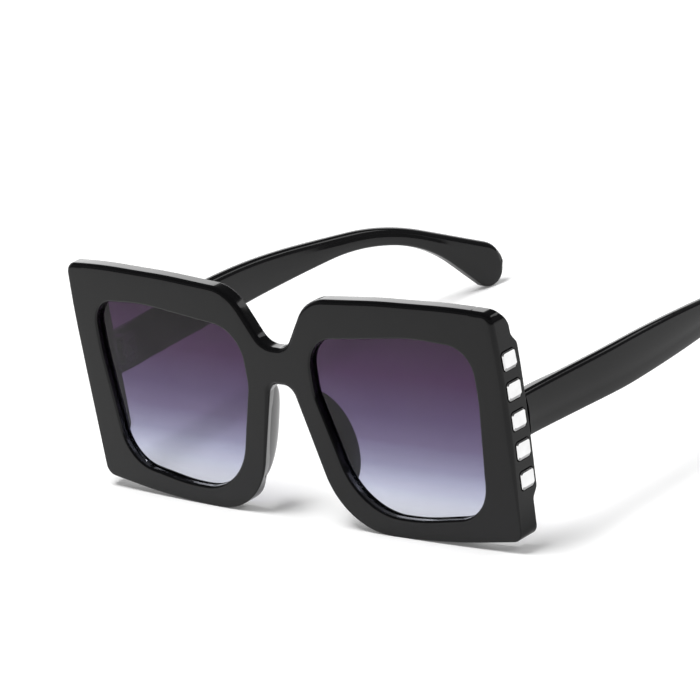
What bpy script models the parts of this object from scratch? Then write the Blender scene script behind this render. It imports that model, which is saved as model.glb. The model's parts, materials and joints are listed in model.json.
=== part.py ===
"""Square sunglasses: a flat black front with two gradient lenses, folding
temples on five-knuckle hinges, and a column of five square crystals down each
outer edge.  They lie open on a table, on the rim bottoms and the temple tips.

Metres, +Z up.  The wearer looks along -Y, so the wearer's left is at +X.
Everything is modelled in the frame of the front, whose face is the plane y = 0
at the bridge and whose rim bottoms are at z = 0.  The whole is then leaned back
a little, until rim bottoms and temple tips stand on one level.
"""

import math

import bmesh
import bpy
from mathutils import Matrix, Vector

# Lenses, and the openings that they show through
LENS_WIDTH = 0.0530
LENS_HEIGHT = 0.0484
LENS_SPACING = 0.0229
LENS_THICKNESS = 0.0018
GROOVE_DEPTH = 0.0011
LENS_TOP_INNER_RADIUS = 0.0095
LENS_TOP_OUTER_RADIUS = 0.0075
LENS_LOW_OUTER_RADIUS = 0.011
LENS_LOW_INNER_RADIUS = 0.018
LENS_SIDE_RADIUS = 0.012
LENS_GENTLE_RADIUS = 0.060

# Rims around the openings, and the plate they are cut from
RIM_OUTER_WIDTH = 0.00855
RIM_TOP_HEIGHT = 0.00915
RIM_BOTTOM_HEIGHT = 0.00525
PLATE_THICKNESS = 0.0038
FRONT_EDGE_ROUND = 0.0006
WRAP_RADIUS = 1.342
WRAP_STEP = 0.0120
TOP_CORNER_RADIUS = 0.0032
BOTTOM_CORNER_RADIUS = 0.0030
CHEEK_RADIUS = 0.020
GENTLE_RADIUS = 0.200

# Bridge, between the notch above it and the arch below it
NOTCH_DEPTH = 0.01615
NOTCH_FLOOR_HALF_WIDTH = 0.0040
NOTCH_FLOOR_RADIUS = 0.0060
NOTCH_SHOULDER_HALF_WIDTH = 0.0132
NOTCH_SHOULDER_DROP = 0.00195
NOTCH_SHOULDER_RADIUS = 0.012
BRIDGE_HEIGHT = 0.0099
ARCH_HALF_WIDTH = 0.0037
ARCH_RADIUS = 0.0035

# End pieces, the deeper outer ends of the front, with a lug for each hinge
END_PIECE_DEPTH = 0.0061
END_PIECE_RAMP = 0.0006
END_PIECE_TOP_RAMP = 0.0055
LUG_DEPTH = 0.0078
LUG_MARGIN = 0.0003
LUG_RAMP = 0.0034

# Crystals in the outer edges
CRYSTAL_COUNT = 5
CRYSTAL_SIZE = 0.0047
CRYSTAL_PITCH = 0.00775
CRYSTAL_LEVEL = 0.0340
CRYSTAL_COLUMN_LEAN = 0.0009
CRYSTAL_SEAT_DEPTH = 0.0012
CRYSTAL_PROUD = 0.0005
CRYSTAL_BEVEL = 0.00045
CRYSTAL_CORNER_RADIUS = 0.0006
CRYSTAL_DEPTH_SHARE = 0.52

# Nose pads
PAD_HEIGHT = 0.0235
PAD_DEPTH = 0.0070
PAD_THICKNESS = 0.0042
PAD_TOP_DROP = 0.00175
PAD_FLARE = 0.0030
PAD_RIM_INSET = 0.0027

# Temples
TEMPLE_LENGTH = 0.1456
TEMPLE_HEIGHT = 0.0108
TEMPLE_RISE = 0.0047
TEMPLE_BELLY = 0.0002
TEMPLE_DROP = 0.0350
TEMPLE_INSET = 0.0005
TEMPLE_HINGE_THICKNESS = 0.0040
TEMPLE_WAIST_THICKNESS = 0.0031
TEMPLE_TIP_THICKNESS = 0.0037
TEMPLE_EDGE_ROUND = 0.0009
TEMPLE_SPLAY = math.radians(4.5)
TEMPLE_SPLAY_EASE = 0.008
TEMPLE_BOW = 0.0256
TEMPLE_BOW_START = 0.024
TEMPLE_TOP_BEND_RADIUS = 0.075
TEMPLE_TOP_GENTLE_RADIUS = 0.283
TEMPLE_BELLY_RADIUS = 0.140
TEMPLE_WAIST_RADIUS = 0.080
TEMPLE_UNDER_BEND_RADIUS = 0.052
TIP_LOW_RADIUS = 0.0040
TIP_END_RADIUS = 0.0080
TEMPLE_STEP = 0.0090

# Hinges
HINGE_HEIGHT = 0.0082
HINGE_LEVEL = 0.0345
KNUCKLE_COUNT = 5
KNUCKLE_RADIUS = 0.0013
KNUCKLE_GAP = 0.00025
LEAF_THICKNESS = 0.0008
FRONT_LEAF_WIDTH = 0.0034
WEB_HALF_WIDTH = 0.0006
TEMPLE_LEAF_LENGTH = 0.0080
STUD_RADIUS = 0.00055
FRONT_STUD_LENGTH = 0.0022
TEMPLE_STUD_LENGTH = 0.0010
STUD_SPACING = 0.0052
SCREW_RADIUS = 0.0005
SCREW_HEAD_RADIUS = 0.00115
SCREW_HEAD_HEIGHT = 0.0007
SCREW_SLOT_WIDTH = 0.0003
SCREW_SLOT_DEPTH = 0.0003

# Wire cores inside the temples
CORE_RADIUS = 0.00045
CORE_TIP_MARGIN = 0.029
CORE_POINT_STEP = 0.0060

# Fits and fineness
SEAT_GAP = 0.00025
BUTT_GAP = 0.0003
REST_LAND_DEPTH = 0.00015
CUT_OVERRUN = 0.001
POINT_SPACING = 0.00025
WELD_SHARE = 0.01
FACET_ANGLE = math.radians(12.0)
ROUND_SIDES = 16

# Outer line of the front, below the lug and along the top, as shares of
# half the front's width and of its height
TOP_EDGE_SHARES = [(0.493, 0.993), (0.840, 1.0)]
TOP_CORNER_SHARES = (0.9925, 0.988)
SIDE_SHARES = [(1.0, 0.783), (0.9945, 0.497)]
BOTTOM_CORNER_SHARES = (0.9747, 0.0557)
BOTTOM_EDGE_SHARES = [(0.740, 0.0199), (0.535, 0.0)]
CHEEK_SHARES = (0.1993, 0.0)

# Lens outline about its centre, as shares of half its width and height
LENS_TOP_INNER_SHARES = (-0.998, 0.855)
LENS_TOP_SHARES = (0.304, 1.002)
LENS_TOP_OUTER_SHARES = (0.991, 0.9545)
LENS_OUTER_SHARES = (1.002, 0.401)
LENS_LOW_OUTER_SHARES = (0.885, -0.8636)
LENS_LOW_SHARES = (0.077, -1.002)
LENS_LOW_INNER_SHARES = (-0.662, -1.0)
LENS_INNER_SHARES = (-1.0038, 0.25)

# Side line of a temple from its hinge end, as shares of its length and drop
TEMPLE_TOP_GENTLE_SHARES = (0.3827, -0.0257)
TEMPLE_TOP_BEND_SHARES = (0.7308, 0.155)
TIP_END_SHARES = (1.0, 0.711)
TIP_LOW_SHARES = (0.930, 1.0)
TEMPLE_UNDER_BEND_SHARES = (0.811, 0.4486)
TEMPLE_WAIST_SHARES = (0.6655, 0.2486)
TEMPLE_BELLY_LENGTH_SHARE = 0.2424
WAIST_THICKNESS_FROM_SHARE = 0.40
WAIST_THICKNESS_TO_SHARE = 0.70

# Overall sizes that follow
LENS_OUTER_X = LENS_SPACING / 2 + LENS_WIDTH
LENS_CENTRE_X = LENS_OUTER_X - LENS_WIDTH / 2
LENS_CENTRE_Z = RIM_BOTTOM_HEIGHT + LENS_HEIGHT / 2
HALF_WIDTH = LENS_OUTER_X + RIM_OUTER_WIDTH
FRONT_HEIGHT = RIM_BOTTOM_HEIGHT + LENS_HEIGHT + RIM_TOP_HEIGHT
BRIDGE_TOP = FRONT_HEIGHT - NOTCH_DEPTH
BRIDGE_BOTTOM = BRIDGE_TOP - BRIDGE_HEIGHT
END_PIECE_INNER_X = LENS_OUTER_X + GROOVE_DEPTH + SEAT_GAP
CRYSTAL_COLUMN_REACH = ((CRYSTAL_COUNT - 1) * CRYSTAL_PITCH + CRYSTAL_SIZE) / 2
LUG_TOP = CRYSTAL_LEVEL + CRYSTAL_COLUMN_REACH + LUG_MARGIN
LUG_BOTTOM = CRYSTAL_LEVEL - CRYSTAL_COLUMN_REACH - LUG_MARGIN
PAD_CENTRE_Z = BRIDGE_BOTTOM - PAD_TOP_DROP - PAD_HEIGHT / 2
TEMPLE_TOP = HINGE_LEVEL + TEMPLE_RISE
TEMPLE_BOTTOM = TEMPLE_TOP - TEMPLE_HEIGHT
TEMPLE_OUTER_X = HALF_WIDTH - TEMPLE_INSET
CORE_LENGTH = TEMPLE_LENGTH - CORE_TIP_MARGIN


# Outlines

def filleted(corners):
    """Points of a closed outline whose corners (x, y, radius) are rounded by arcs."""
    count = len(corners)
    places = [Vector(corner[:2]) for corner in corners]
    turns, wanted = [], []
    for i in range(count):
        before = (places[i] - places[i - 1]).normalized()
        after = (places[(i + 1) % count] - places[i]).normalized()
        turn = math.atan2(before.cross(after), before.dot(after))
        turns.append(turn)
        wanted.append(corners[i][2] * abs(math.tan(turn / 2)))
    tangents = list(wanted)
    for i in range(count):
        j = (i + 1) % count
        room = (places[j] - places[i]).length
        if wanted[i] + wanted[j] > room:
            squeeze = room / (wanted[i] + wanted[j])
            tangents[i] = min(tangents[i], wanted[i] * squeeze)
            tangents[j] = min(tangents[j], wanted[j] * squeeze)
    points = []
    for i in range(count):
        if tangents[i] == 0:
            points.append(places[i])
            continue
        before = (places[i] - places[i - 1]).normalized()
        radius = tangents[i] / abs(math.tan(turns[i] / 2))
        side = math.copysign(1, turns[i])
        start = places[i] - before * tangents[i]
        centre = start + Vector((-before.y, before.x)) * radius * side
        steps = max(1, math.ceil(abs(turns[i]) / FACET_ANGLE))
        for k in range(steps + 1):
            turned = Matrix.Rotation(turns[i] * k / steps, 2)
            points.append(centre + turned @ (start - centre))
    return thinned(points)


def thinned(points):
    """The same closed outline without points that fall on the one before."""
    kept = []
    for point in points:
        if not kept or (point - kept[-1]).length > POINT_SPACING:
            kept.append(point)
    if (kept[0] - kept[-1]).length <= POINT_SPACING:
        kept.pop()
    return kept


def grown(points, distance):
    """A convex counter-clockwise outline moved outwards by a distance."""
    moved = []
    for i, point in enumerate(points):
        before = (point - points[i - 1]).normalized()
        after = (points[(i + 1) % len(points)] - point).normalized()
        normal = Vector((before.y + after.y, -before.x - after.x)).normalized()
        moved.append(point + normal * distance / normal.dot(Vector((after.y, -after.x))))
    return moved


def mirrored(points):
    """An outline's mirror image across x = 0, running the same way round."""
    return [Vector((-point.x, point.y)) for point in reversed(points)]


def front_share(shares, radius):
    """One corner of the front's outer line from its shares."""
    return (shares[0] * HALF_WIDTH, shares[1] * FRONT_HEIGHT, radius)


def front_outline():
    """Outer line of the front, counter-clockwise with x to the right and z up."""
    half = [(NOTCH_FLOOR_HALF_WIDTH, BRIDGE_TOP, NOTCH_FLOOR_RADIUS),
            (NOTCH_SHOULDER_HALF_WIDTH, FRONT_HEIGHT - NOTCH_SHOULDER_DROP,
             NOTCH_SHOULDER_RADIUS)]
    half += [front_share(shares, GENTLE_RADIUS) for shares in TOP_EDGE_SHARES]
    half.append(front_share(TOP_CORNER_SHARES, TOP_CORNER_RADIUS))
    half += [front_share(shares, GENTLE_RADIUS) for shares in SIDE_SHARES]
    half.append(front_share(BOTTOM_CORNER_SHARES, BOTTOM_CORNER_RADIUS))
    half += [front_share(shares, GENTLE_RADIUS) for shares in BOTTOM_EDGE_SHARES]
    half.append(front_share(CHEEK_SHARES, CHEEK_RADIUS))
    half.append((ARCH_HALF_WIDTH, BRIDGE_BOTTOM, ARCH_RADIUS))
    other = [(-x, z, radius) for x, z, radius in reversed(half)]
    return list(reversed(filleted(half + other)))


def lens_outline():
    """Line of the opening that the left lens shows through."""
    table = [(LENS_TOP_INNER_SHARES, LENS_TOP_INNER_RADIUS),
             (LENS_INNER_SHARES, LENS_SIDE_RADIUS),
             (LENS_LOW_INNER_SHARES, LENS_LOW_INNER_RADIUS),
             (LENS_LOW_SHARES, LENS_GENTLE_RADIUS),
             (LENS_LOW_OUTER_SHARES, LENS_LOW_OUTER_RADIUS),
             (LENS_OUTER_SHARES, LENS_GENTLE_RADIUS),
             (LENS_TOP_OUTER_SHARES, LENS_TOP_OUTER_RADIUS),
             (LENS_TOP_SHARES, LENS_GENTLE_RADIUS)]
    return filleted([(LENS_CENTRE_X + shares[0] * LENS_WIDTH / 2,
                      LENS_CENTRE_Z + shares[1] * LENS_HEIGHT / 2, radius)
                     for shares, radius in table])


def temple_outline():
    """Side line of a temple, with its length along x and its height along y."""
    table = [(TEMPLE_TOP_GENTLE_SHARES, TEMPLE_TOP_GENTLE_RADIUS),
             (TEMPLE_TOP_BEND_SHARES, TEMPLE_TOP_BEND_RADIUS),
             (TIP_END_SHARES, TIP_END_RADIUS),
             (TIP_LOW_SHARES, TIP_LOW_RADIUS),
             (TEMPLE_UNDER_BEND_SHARES, TEMPLE_UNDER_BEND_RADIUS),
             (TEMPLE_WAIST_SHARES, TEMPLE_WAIST_RADIUS)]
    line = [(0, TEMPLE_TOP, 0)]
    line += [(shares[0] * TEMPLE_LENGTH, TEMPLE_TOP - shares[1] * TEMPLE_DROP, radius)
             for shares, radius in table]
    line.append((TEMPLE_BELLY_LENGTH_SHARE * TEMPLE_LENGTH, TEMPLE_BOTTOM - TEMPLE_BELLY,
                 TEMPLE_BELLY_RADIUS))
    line.append((0, TEMPLE_BOTTOM, 0))
    return list(reversed(filleted(line)))


# Curves in space that the outlines are bent to

def wrap(x):
    """How far back the front's face lies at a place across it."""
    return x * x / (2 * WRAP_RADIUS)


def ramp(value, start, length):
    """Goes from 0 to 1 over a length."""
    return min(1.0, max(0.0, (value - start) / length))


def added_depth(x, z):
    """How much deeper than the plate the end pieces and their lugs are."""
    side = ramp(abs(x), END_PIECE_INNER_X, END_PIECE_RAMP)
    end_piece = ramp(FRONT_HEIGHT - z, 0, END_PIECE_TOP_RAMP)
    lug = min(ramp(z, LUG_BOTTOM - LUG_RAMP, LUG_RAMP),
              ramp(LUG_TOP + LUG_RAMP - z, 0, LUG_RAMP))
    return side * (end_piece * (END_PIECE_DEPTH - PLATE_THICKNESS)
                   + lug * (LUG_DEPTH - END_PIECE_DEPTH))


def side_x(z):
    """Where the front's outer edge stands at a height, and how it slants there."""
    line = [front_share(shares, 0) for shares in
            [TOP_CORNER_SHARES] + SIDE_SHARES + [BOTTOM_CORNER_SHARES]]
    for (x_high, z_high, _), (x_low, z_low, _) in zip(line, line[1:]):
        if z >= z_low or z_low == line[-1][1]:
            slant = (x_high - x_low) / (z_high - z_low)
            return x_low + (z - z_low) * slant, math.atan(slant)


def temple_thickness(s):
    """Thickness of a temple at a distance from its hinge end."""
    share = s / TEMPLE_LENGTH
    narrowing = ramp(share, 0, WAIST_THICKNESS_FROM_SHARE)
    widening = ramp(share, WAIST_THICKNESS_TO_SHARE, 1 - WAIST_THICKNESS_TO_SHARE)
    thickness = TEMPLE_HINGE_THICKNESS
    thickness += narrowing * (TEMPLE_WAIST_THICKNESS - TEMPLE_HINGE_THICKNESS)
    thickness += widening * (TEMPLE_TIP_THICKNESS - TEMPLE_WAIST_THICKNESS)
    return thickness


def temple_middle(s):
    """Sideways place of a temple's middle, from the hinge end's middle."""
    thinning = (TEMPLE_HINGE_THICKNESS - temple_thickness(s)) / 2
    bent = ramp(s, TEMPLE_BOW_START, TEMPLE_LENGTH - TEMPLE_BOW_START)
    splayed = s * s / (s + TEMPLE_SPLAY_EASE) * math.tan(TEMPLE_SPLAY)
    return splayed + thinning - TEMPLE_BOW * bent * bent


BUTT_Y = LUG_DEPTH + wrap(HALF_WIDTH) + BUTT_GAP
TEMPLE_MIDDLE_X = TEMPLE_OUTER_X - TEMPLE_HINGE_THICKNESS / 2
TEMPLE_INNER_X = TEMPLE_OUTER_X - TEMPLE_HINGE_THICKNESS
HINGE_X = TEMPLE_INNER_X - KNUCKLE_RADIUS - SEAT_GAP
LUG_BACK_Y = LUG_DEPTH + wrap(HINGE_X)
HINGE_Y = LUG_BACK_Y + KNUCKLE_RADIUS + SEAT_GAP
KNUCKLE_HEIGHT = (HINGE_HEIGHT - (KNUCKLE_COUNT - 1) * KNUCKLE_GAP) / KNUCKLE_COUNT
HINGE_BOTTOM = HINGE_LEVEL - HINGE_HEIGHT / 2


def rest_level():
    """Lean of the front and height of the level that rim bottoms and tips stand on."""
    rim = (wrap(CHEEK_SHARES[0] * HALF_WIDTH) + PLATE_THICKNESS - FRONT_EDGE_ROUND, 0)
    tips = [(BUTT_Y + point.x, point.y) for point in temple_outline()]
    lean = 0.0
    for _ in range(4):
        def height(place):
            return place[1] * math.cos(lean) - place[0] * math.sin(lean)
        tip = min(tips, key=height)
        lean = math.atan2(tip[1] - rim[1], tip[0] - rim[0])
    level = rim[1] * math.cos(lean) - rim[0] * math.sin(lean)
    return lean, level + REST_LAND_DEPTH


# Scene and objects

def clear_scene():
    for old in list(bpy.data.objects):
        bpy.data.objects.remove(old, do_unlink=True)


def new_collection(name):
    collection = bpy.data.collections.new(name)
    bpy.context.scene.collection.children.link(collection)
    return collection


def new_material(name, colour, roughness, metallic=0.0, transmission=0.0):
    material = bpy.data.materials.new(name)
    material.use_nodes = True
    shader = material.node_tree.nodes["Principled BSDF"]
    shader.inputs["Base Color"].default_value = (*colour, 1.0)
    shader.inputs["Roughness"].default_value = roughness
    shader.inputs["Metallic"].default_value = metallic
    shader.inputs["Transmission Weight"].default_value = transmission
    material.diffuse_color = (*colour, 1.0)
    return material


def new_object(name, mesh, collection, parent, material=None, place=(0, 0, 0)):
    """An object of one mesh, placed in its parent's frame."""
    made = bpy.data.objects.new(name, mesh)
    collection.objects.link(made)
    made.parent = parent
    made.location = place
    if material:
        mesh.materials.clear()
        mesh.materials.append(material)
    return made


def new_axis(name, collection, parent, place):
    """An empty on a joint's axis."""
    axis = bpy.data.objects.new(name, None)
    collection.objects.link(axis)
    axis.parent = parent
    axis.location = place
    return axis


def mesh_of(made):
    """The evaluated mesh of an object, which is then removed."""
    graph = bpy.context.evaluated_depsgraph_get()
    mesh = bpy.data.meshes.new_from_object(made.evaluated_get(graph))
    mesh.transform(made.matrix_basis)
    bpy.data.objects.remove(made, do_unlink=True)
    return mesh


def flat_plate(outlines, thickness, edge_round=0.0):
    """A mesh of a flat outline with holes, rounded along its edges, about z = 0."""
    curve = bpy.data.curves.new("outline", "CURVE")
    curve.dimensions = "2D"
    curve.fill_mode = "BOTH"
    curve.extrude = thickness / 2 - edge_round
    curve.bevel_depth = edge_round
    curve.bevel_resolution = 1
    curve.offset = -edge_round
    for points in outlines:
        spline = curve.splines.new("POLY")
        spline.points.add(len(points) - 1)
        for knot, point in zip(spline.points, points):
            knot.co = (point.x, point.y, 0, 1)
        spline.use_cyclic_u = True
    made = bpy.data.objects.new("outline", curve)
    bpy.context.scene.collection.objects.link(made)
    bpy.context.view_layer.update()
    mesh = mesh_of(made)
    weld(mesh)
    return mesh


def edited(mesh, change):
    """Runs one bmesh change on a mesh and keeps its faces pointing out."""
    work = bmesh.new()
    work.from_mesh(mesh)
    change(work)
    bmesh.ops.recalc_face_normals(work, faces=work.faces)
    work.to_mesh(mesh)
    work.free()


def weld(mesh):
    """Joins vertices that lie on each other."""
    edited(mesh, lambda work: bmesh.ops.remove_doubles(work, verts=work.verts,
                                                       dist=SEAT_GAP * WELD_SHARE))


def sliced(mesh, places, normal):
    """Cuts new edges into a mesh along parallel planes."""
    def change(work):
        for place in places:
            bmesh.ops.bisect_plane(work, geom=work.verts[:] + work.edges[:] + work.faces[:],
                                   plane_co=normal * place, plane_no=normal)
    edited(mesh, change)


def bent(mesh, rule):
    """Moves each vertex of a mesh to the place that a rule gives."""
    for vertex in mesh.vertices:
        vertex.co = rule(vertex.co.copy())


def box_mesh(low, high, corner_round=0.0, round_axis=None):
    """A box between two corners, its edges along one axis rounded if asked."""
    mesh = bpy.data.meshes.new("box")
    size = [b - a for a, b in zip(low, high)]
    middle = [(a + b) / 2 for a, b in zip(low, high)]
    work = bmesh.new()
    bmesh.ops.create_cube(work, size=1, matrix=Matrix.LocRotScale(middle, None, size))
    if corner_round:
        edges = [edge for edge in work.edges
                 if abs((edge.verts[0].co - edge.verts[1].co).normalized()[round_axis]) > 0.5]
        bmesh.ops.bevel(work, geom=edges, offset=corner_round, segments=3, profile=0.5,
                        affect="EDGES")
    work.to_mesh(mesh)
    work.free()
    return mesh


def rod_mesh(start, end, radius, sides=ROUND_SIDES):
    """A round bar between two points."""
    mesh = bpy.data.meshes.new("rod")
    start, end = Vector(start), Vector(end)
    turn = (end - start).to_track_quat("Z", "Y")
    work = bmesh.new()
    bmesh.ops.create_cone(work, cap_ends=True, segments=sides, radius1=radius, radius2=radius,
                          depth=(end - start).length,
                          matrix=Matrix.LocRotScale((start + end) / 2, turn, None))
    work.to_mesh(mesh)
    work.free()
    return mesh


def joined(meshes):
    """Several meshes as one, each kept as its own body."""
    work = bmesh.new()
    for mesh in meshes:
        work.from_mesh(mesh)
    whole = bpy.data.meshes.new("joined")
    work.to_mesh(whole)
    work.free()
    return whole


def new_cutter(name, mesh, collection, parent):
    cutter = new_object(name, mesh, collection, parent)
    cutter.hide_render = True
    cutter.display_type = "WIRE"
    return cutter


def combine(made, other, operation):
    """Adds a Boolean with another object to an object."""
    modifier = made.modifiers.new(other.name, "BOOLEAN")
    modifier.operation = operation
    modifier.solver = "EXACT"
    modifier.object = other


def cut_away(mesh, cutter_mesh):
    """A mesh with another taken away from it at once."""
    whole = bpy.data.objects.new("whole", mesh)
    cutter = bpy.data.objects.new("cutter", cutter_mesh)
    for made in (whole, cutter):
        bpy.context.scene.collection.objects.link(made)
    combine(whole, cutter, "DIFFERENCE")
    bpy.context.view_layer.update()
    result = mesh_of(whole)
    bpy.data.objects.remove(cutter, do_unlink=True)
    return result


def smoothed(made, angle=math.radians(40.0)):
    made.data.shade_smooth()
    made.data.set_sharp_from_angle(angle=angle)


# Front frame

def plate_blank():
    """The flat front with both lens openings and the grooves around them."""
    left = lens_outline()
    mesh = flat_plate([front_outline(), left, mirrored(left)], PLATE_THICKNESS, FRONT_EDGE_ROUND)
    slot = grown(left, GROOVE_DEPTH)
    for points in (slot, mirrored(slot)):
        mesh = cut_away(mesh, flat_plate([points], LENS_THICKNESS + 2 * SEAT_GAP))
    return mesh


def stood_up(mesh, thickness):
    """Turns a flat plate's length to X, height to Z and thickness to +Y."""
    mesh.transform(Matrix.Translation((0, thickness / 2, 0)) @ Matrix.Rotation(math.pi / 2, 4, "X"))


def wrapped(mesh):
    """Slices a standing plate upright and bends it to the front's wrap."""
    steps = math.floor(HALF_WIDTH / WRAP_STEP)
    places = [step * WRAP_STEP for step in range(-steps, steps + 1)]
    sliced(mesh, places, Vector((1, 0, 0)))

    def rule(place):
        place.y += wrap(place.x)
        return place
    bent(mesh, rule)


def deepened(mesh):
    """Draws the back of the front's outer ends out to end pieces and lugs."""
    across = [side * place for side in (-1, 1)
              for place in (END_PIECE_INNER_X, END_PIECE_INNER_X + END_PIECE_RAMP)]
    sliced(mesh, across, Vector((1, 0, 0)))
    heights = (LUG_BOTTOM - LUG_RAMP, LUG_BOTTOM, LUG_TOP, LUG_TOP + LUG_RAMP,
               FRONT_HEIGHT - END_PIECE_TOP_RAMP)
    sliced(mesh, heights, Vector((0, 0, 1)))

    def rule(place):
        if place.y > PLATE_THICKNESS / 2:
            place.y += added_depth(place.x, place.z)
        return place
    bent(mesh, rule)


def crystal_places():
    """Middle of each crystal's seat on the left edge, with the edge's slant."""
    for i in range(CRYSTAL_COUNT):
        drop = (i - (CRYSTAL_COUNT - 1) / 2) * CRYSTAL_PITCH
        x, slant = side_x(CRYSTAL_LEVEL - drop)
        back = drop / (2 * CRYSTAL_COLUMN_REACH) * CRYSTAL_COLUMN_LEAN
        y = wrap(HALF_WIDTH) + CRYSTAL_DEPTH_SHARE * LUG_DEPTH + back
        yield Vector((x, y, CRYSTAL_LEVEL - drop)), slant


def crystal_pockets():
    """Square sockets for all the crystals."""
    reach = CRYSTAL_SIZE / 2 + SEAT_GAP
    meshes = []
    for place, slant in crystal_places():
        for side in (-1, 1):
            mesh = box_mesh((-CRYSTAL_SEAT_DEPTH - SEAT_GAP, -reach, -reach),
                            (CUT_OVERRUN, reach, reach), CRYSTAL_CORNER_RADIUS + SEAT_GAP, 0)
            mesh.transform(on_side(place, slant, side))
            meshes.append(mesh)
    return joined(meshes)


def on_side(place, slant, side):
    """Placement of a piece, whose +X points outwards, on the left (1) or right (-1)."""
    spot = Matrix.Translation((side * place.x, place.y, place.z))
    lean = Matrix.Rotation(side * slant, 4, "Y")
    return spot @ lean @ Matrix.Rotation(0 if side > 0 else math.pi, 4, "Z")


def leaf_recesses(grow):
    """Plates of both front hinge leaves, grown by a clearance for their recesses."""
    meshes = []
    for side in (-1, 1):
        low_x, high_x = front_leaf_span()
        xs = sorted((side * (low_x - grow), side * (high_x + grow)))
        back = LUG_BACK_Y + (CUT_OVERRUN if grow else 0)
        meshes.append(box_mesh((xs[0], LUG_BACK_Y - LEAF_THICKNESS - grow, HINGE_BOTTOM - grow),
                               (xs[1], back, HINGE_BOTTOM + HINGE_HEIGHT + grow)))
    return joined(meshes)


def front_leaf_span():
    inner = HINGE_X - WEB_HALF_WIDTH
    return inner, inner + FRONT_LEAF_WIDTH


def stud_heights():
    return (HINGE_LEVEL - STUD_SPACING / 2, HINGE_LEVEL + STUD_SPACING / 2)


def front_studs(side, grow=0.0):
    """Studs that anchor a front leaf in its lug."""
    low_x, high_x = front_leaf_span()
    x = side * (low_x + high_x) / 2
    start = LUG_BACK_Y - LEAF_THICKNESS / 2
    end = LUG_BACK_Y - LEAF_THICKNESS - FRONT_STUD_LENGTH - grow
    return [rod_mesh((x, start, z), (x, end, z), STUD_RADIUS + grow) for z in stud_heights()]


def resting_plane(name, cutters, root, lean, level):
    """A block below the level that the sunglasses stand on."""
    reach = TEMPLE_LENGTH + 2 * HALF_WIDTH
    mesh = box_mesh((-reach, -reach, -reach), (reach, reach, level))
    mesh.transform(Matrix.Rotation(lean, 4, "X"))
    return new_cutter(name, mesh, cutters, root)


def build_front(parts, cutters, root, black, lean, level):
    mesh = plate_blank()
    stood_up(mesh, PLATE_THICKNESS)
    deepened(mesh)
    wrapped(mesh)
    front = new_object("front_frame", mesh, parts, root, black)
    combine(front, new_cutter("crystal_pockets", crystal_pockets(), cutters, root), "DIFFERENCE")
    combine(front, new_cutter("leaf_recesses", leaf_recesses(SEAT_GAP), cutters, root),
            "DIFFERENCE")
    holes = joined(front_studs(1, SEAT_GAP) + front_studs(-1, SEAT_GAP))
    combine(front, new_cutter("stud_holes", holes, cutters, root), "DIFFERENCE")
    combine(front, resting_plane("rim_land", cutters, root, lean, level), "DIFFERENCE")
    smoothed(front)


# Lenses

def build_lenses(parts, root, tint):
    outline = grown(lens_outline(), GROOVE_DEPTH - SEAT_GAP)
    for name, points in (("left_lens", outline), ("right_lens", mirrored(outline))):
        mesh = flat_plate([points], LENS_THICKNESS)
        stood_up(mesh, PLATE_THICKNESS)
        wrapped(mesh)
        smoothed(new_object(name, mesh, parts, root, tint))


# Crystals

def crystal_mesh():
    """A square stone with a flat table, bevelled crown and rounded corners."""
    reach = CRYSTAL_SIZE / 2
    mesh = box_mesh((-CRYSTAL_SEAT_DEPTH, -reach, -reach), (CRYSTAL_PROUD, reach, reach),
                    CRYSTAL_CORNER_RADIUS, 0)

    def change(work):
        edges = [edge for edge in work.edges
                 if all(vertex.co.x > 0 for vertex in edge.verts)]
        bmesh.ops.bevel(work, geom=edges, offset=CRYSTAL_BEVEL, segments=1, affect="EDGES")
    edited(mesh, change)
    return mesh


def build_crystals(parts, root, crystal):
    mesh = crystal_mesh()
    for name, side in (("left", 1), ("right", -1)):
        for i, (place, slant) in enumerate(crystal_places()):
            made = new_object(f"{name}_crystal_{i + 1}", mesh, parts, root, crystal)
            made.matrix_local = on_side(place, slant, side)


# Nose pads

def cheek_x(z):
    """Inner edge of the rim beside the nose at a height."""
    low = front_share(CHEEK_SHARES, 0)
    share = (z - low[1]) / (BRIDGE_BOTTOM - low[1])
    return low[0] + share * (ARCH_HALF_WIDTH - low[0])


def pad_mesh():
    """Half an ellipsoid on the back of the rim, flaring out towards the face."""
    mesh = bpy.data.meshes.new("pad")
    work = bmesh.new()
    scale = (PAD_THICKNESS / 2, PAD_DEPTH, PAD_HEIGHT / 2)
    bmesh.ops.create_uvsphere(work, u_segments=24, v_segments=14, radius=1,
                              matrix=Matrix.LocRotScale(None, None, scale))
    bmesh.ops.bisect_plane(work, geom=work.verts[:] + work.edges[:] + work.faces[:],
                           plane_co=(0, 0, 0), plane_no=(0, 1, 0), clear_inner=True)
    rim = [edge for edge in work.edges if edge.is_boundary]
    bmesh.ops.holes_fill(work, edges=rim)
    bmesh.ops.recalc_face_normals(work, faces=work.faces)
    work.to_mesh(mesh)
    work.free()
    return mesh


def build_pads(parts, root, black):
    lean = (cheek_x(PAD_CENTRE_Z) - cheek_x(PAD_CENTRE_Z + PAD_HEIGHT)) / PAD_HEIGHT
    inner = cheek_x(PAD_CENTRE_Z) + PAD_RIM_INSET
    for name, side in (("left_nose_pad", 1), ("right_nose_pad", -1)):
        mesh = pad_mesh()

        def rule(place, side=side):
            flare = PAD_FLARE * place.y / PAD_DEPTH
            place.x += side * (flare - place.z * lean)
            return place
        bent(mesh, rule)
        y = PLATE_THICKNESS + wrap(inner + PAD_THICKNESS / 2) + SEAT_GAP
        smoothed(new_object(name, mesh, parts, root, black, (side * inner, y, PAD_CENTRE_Z)))


# Temples, modelled from their hinge's axis

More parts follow.
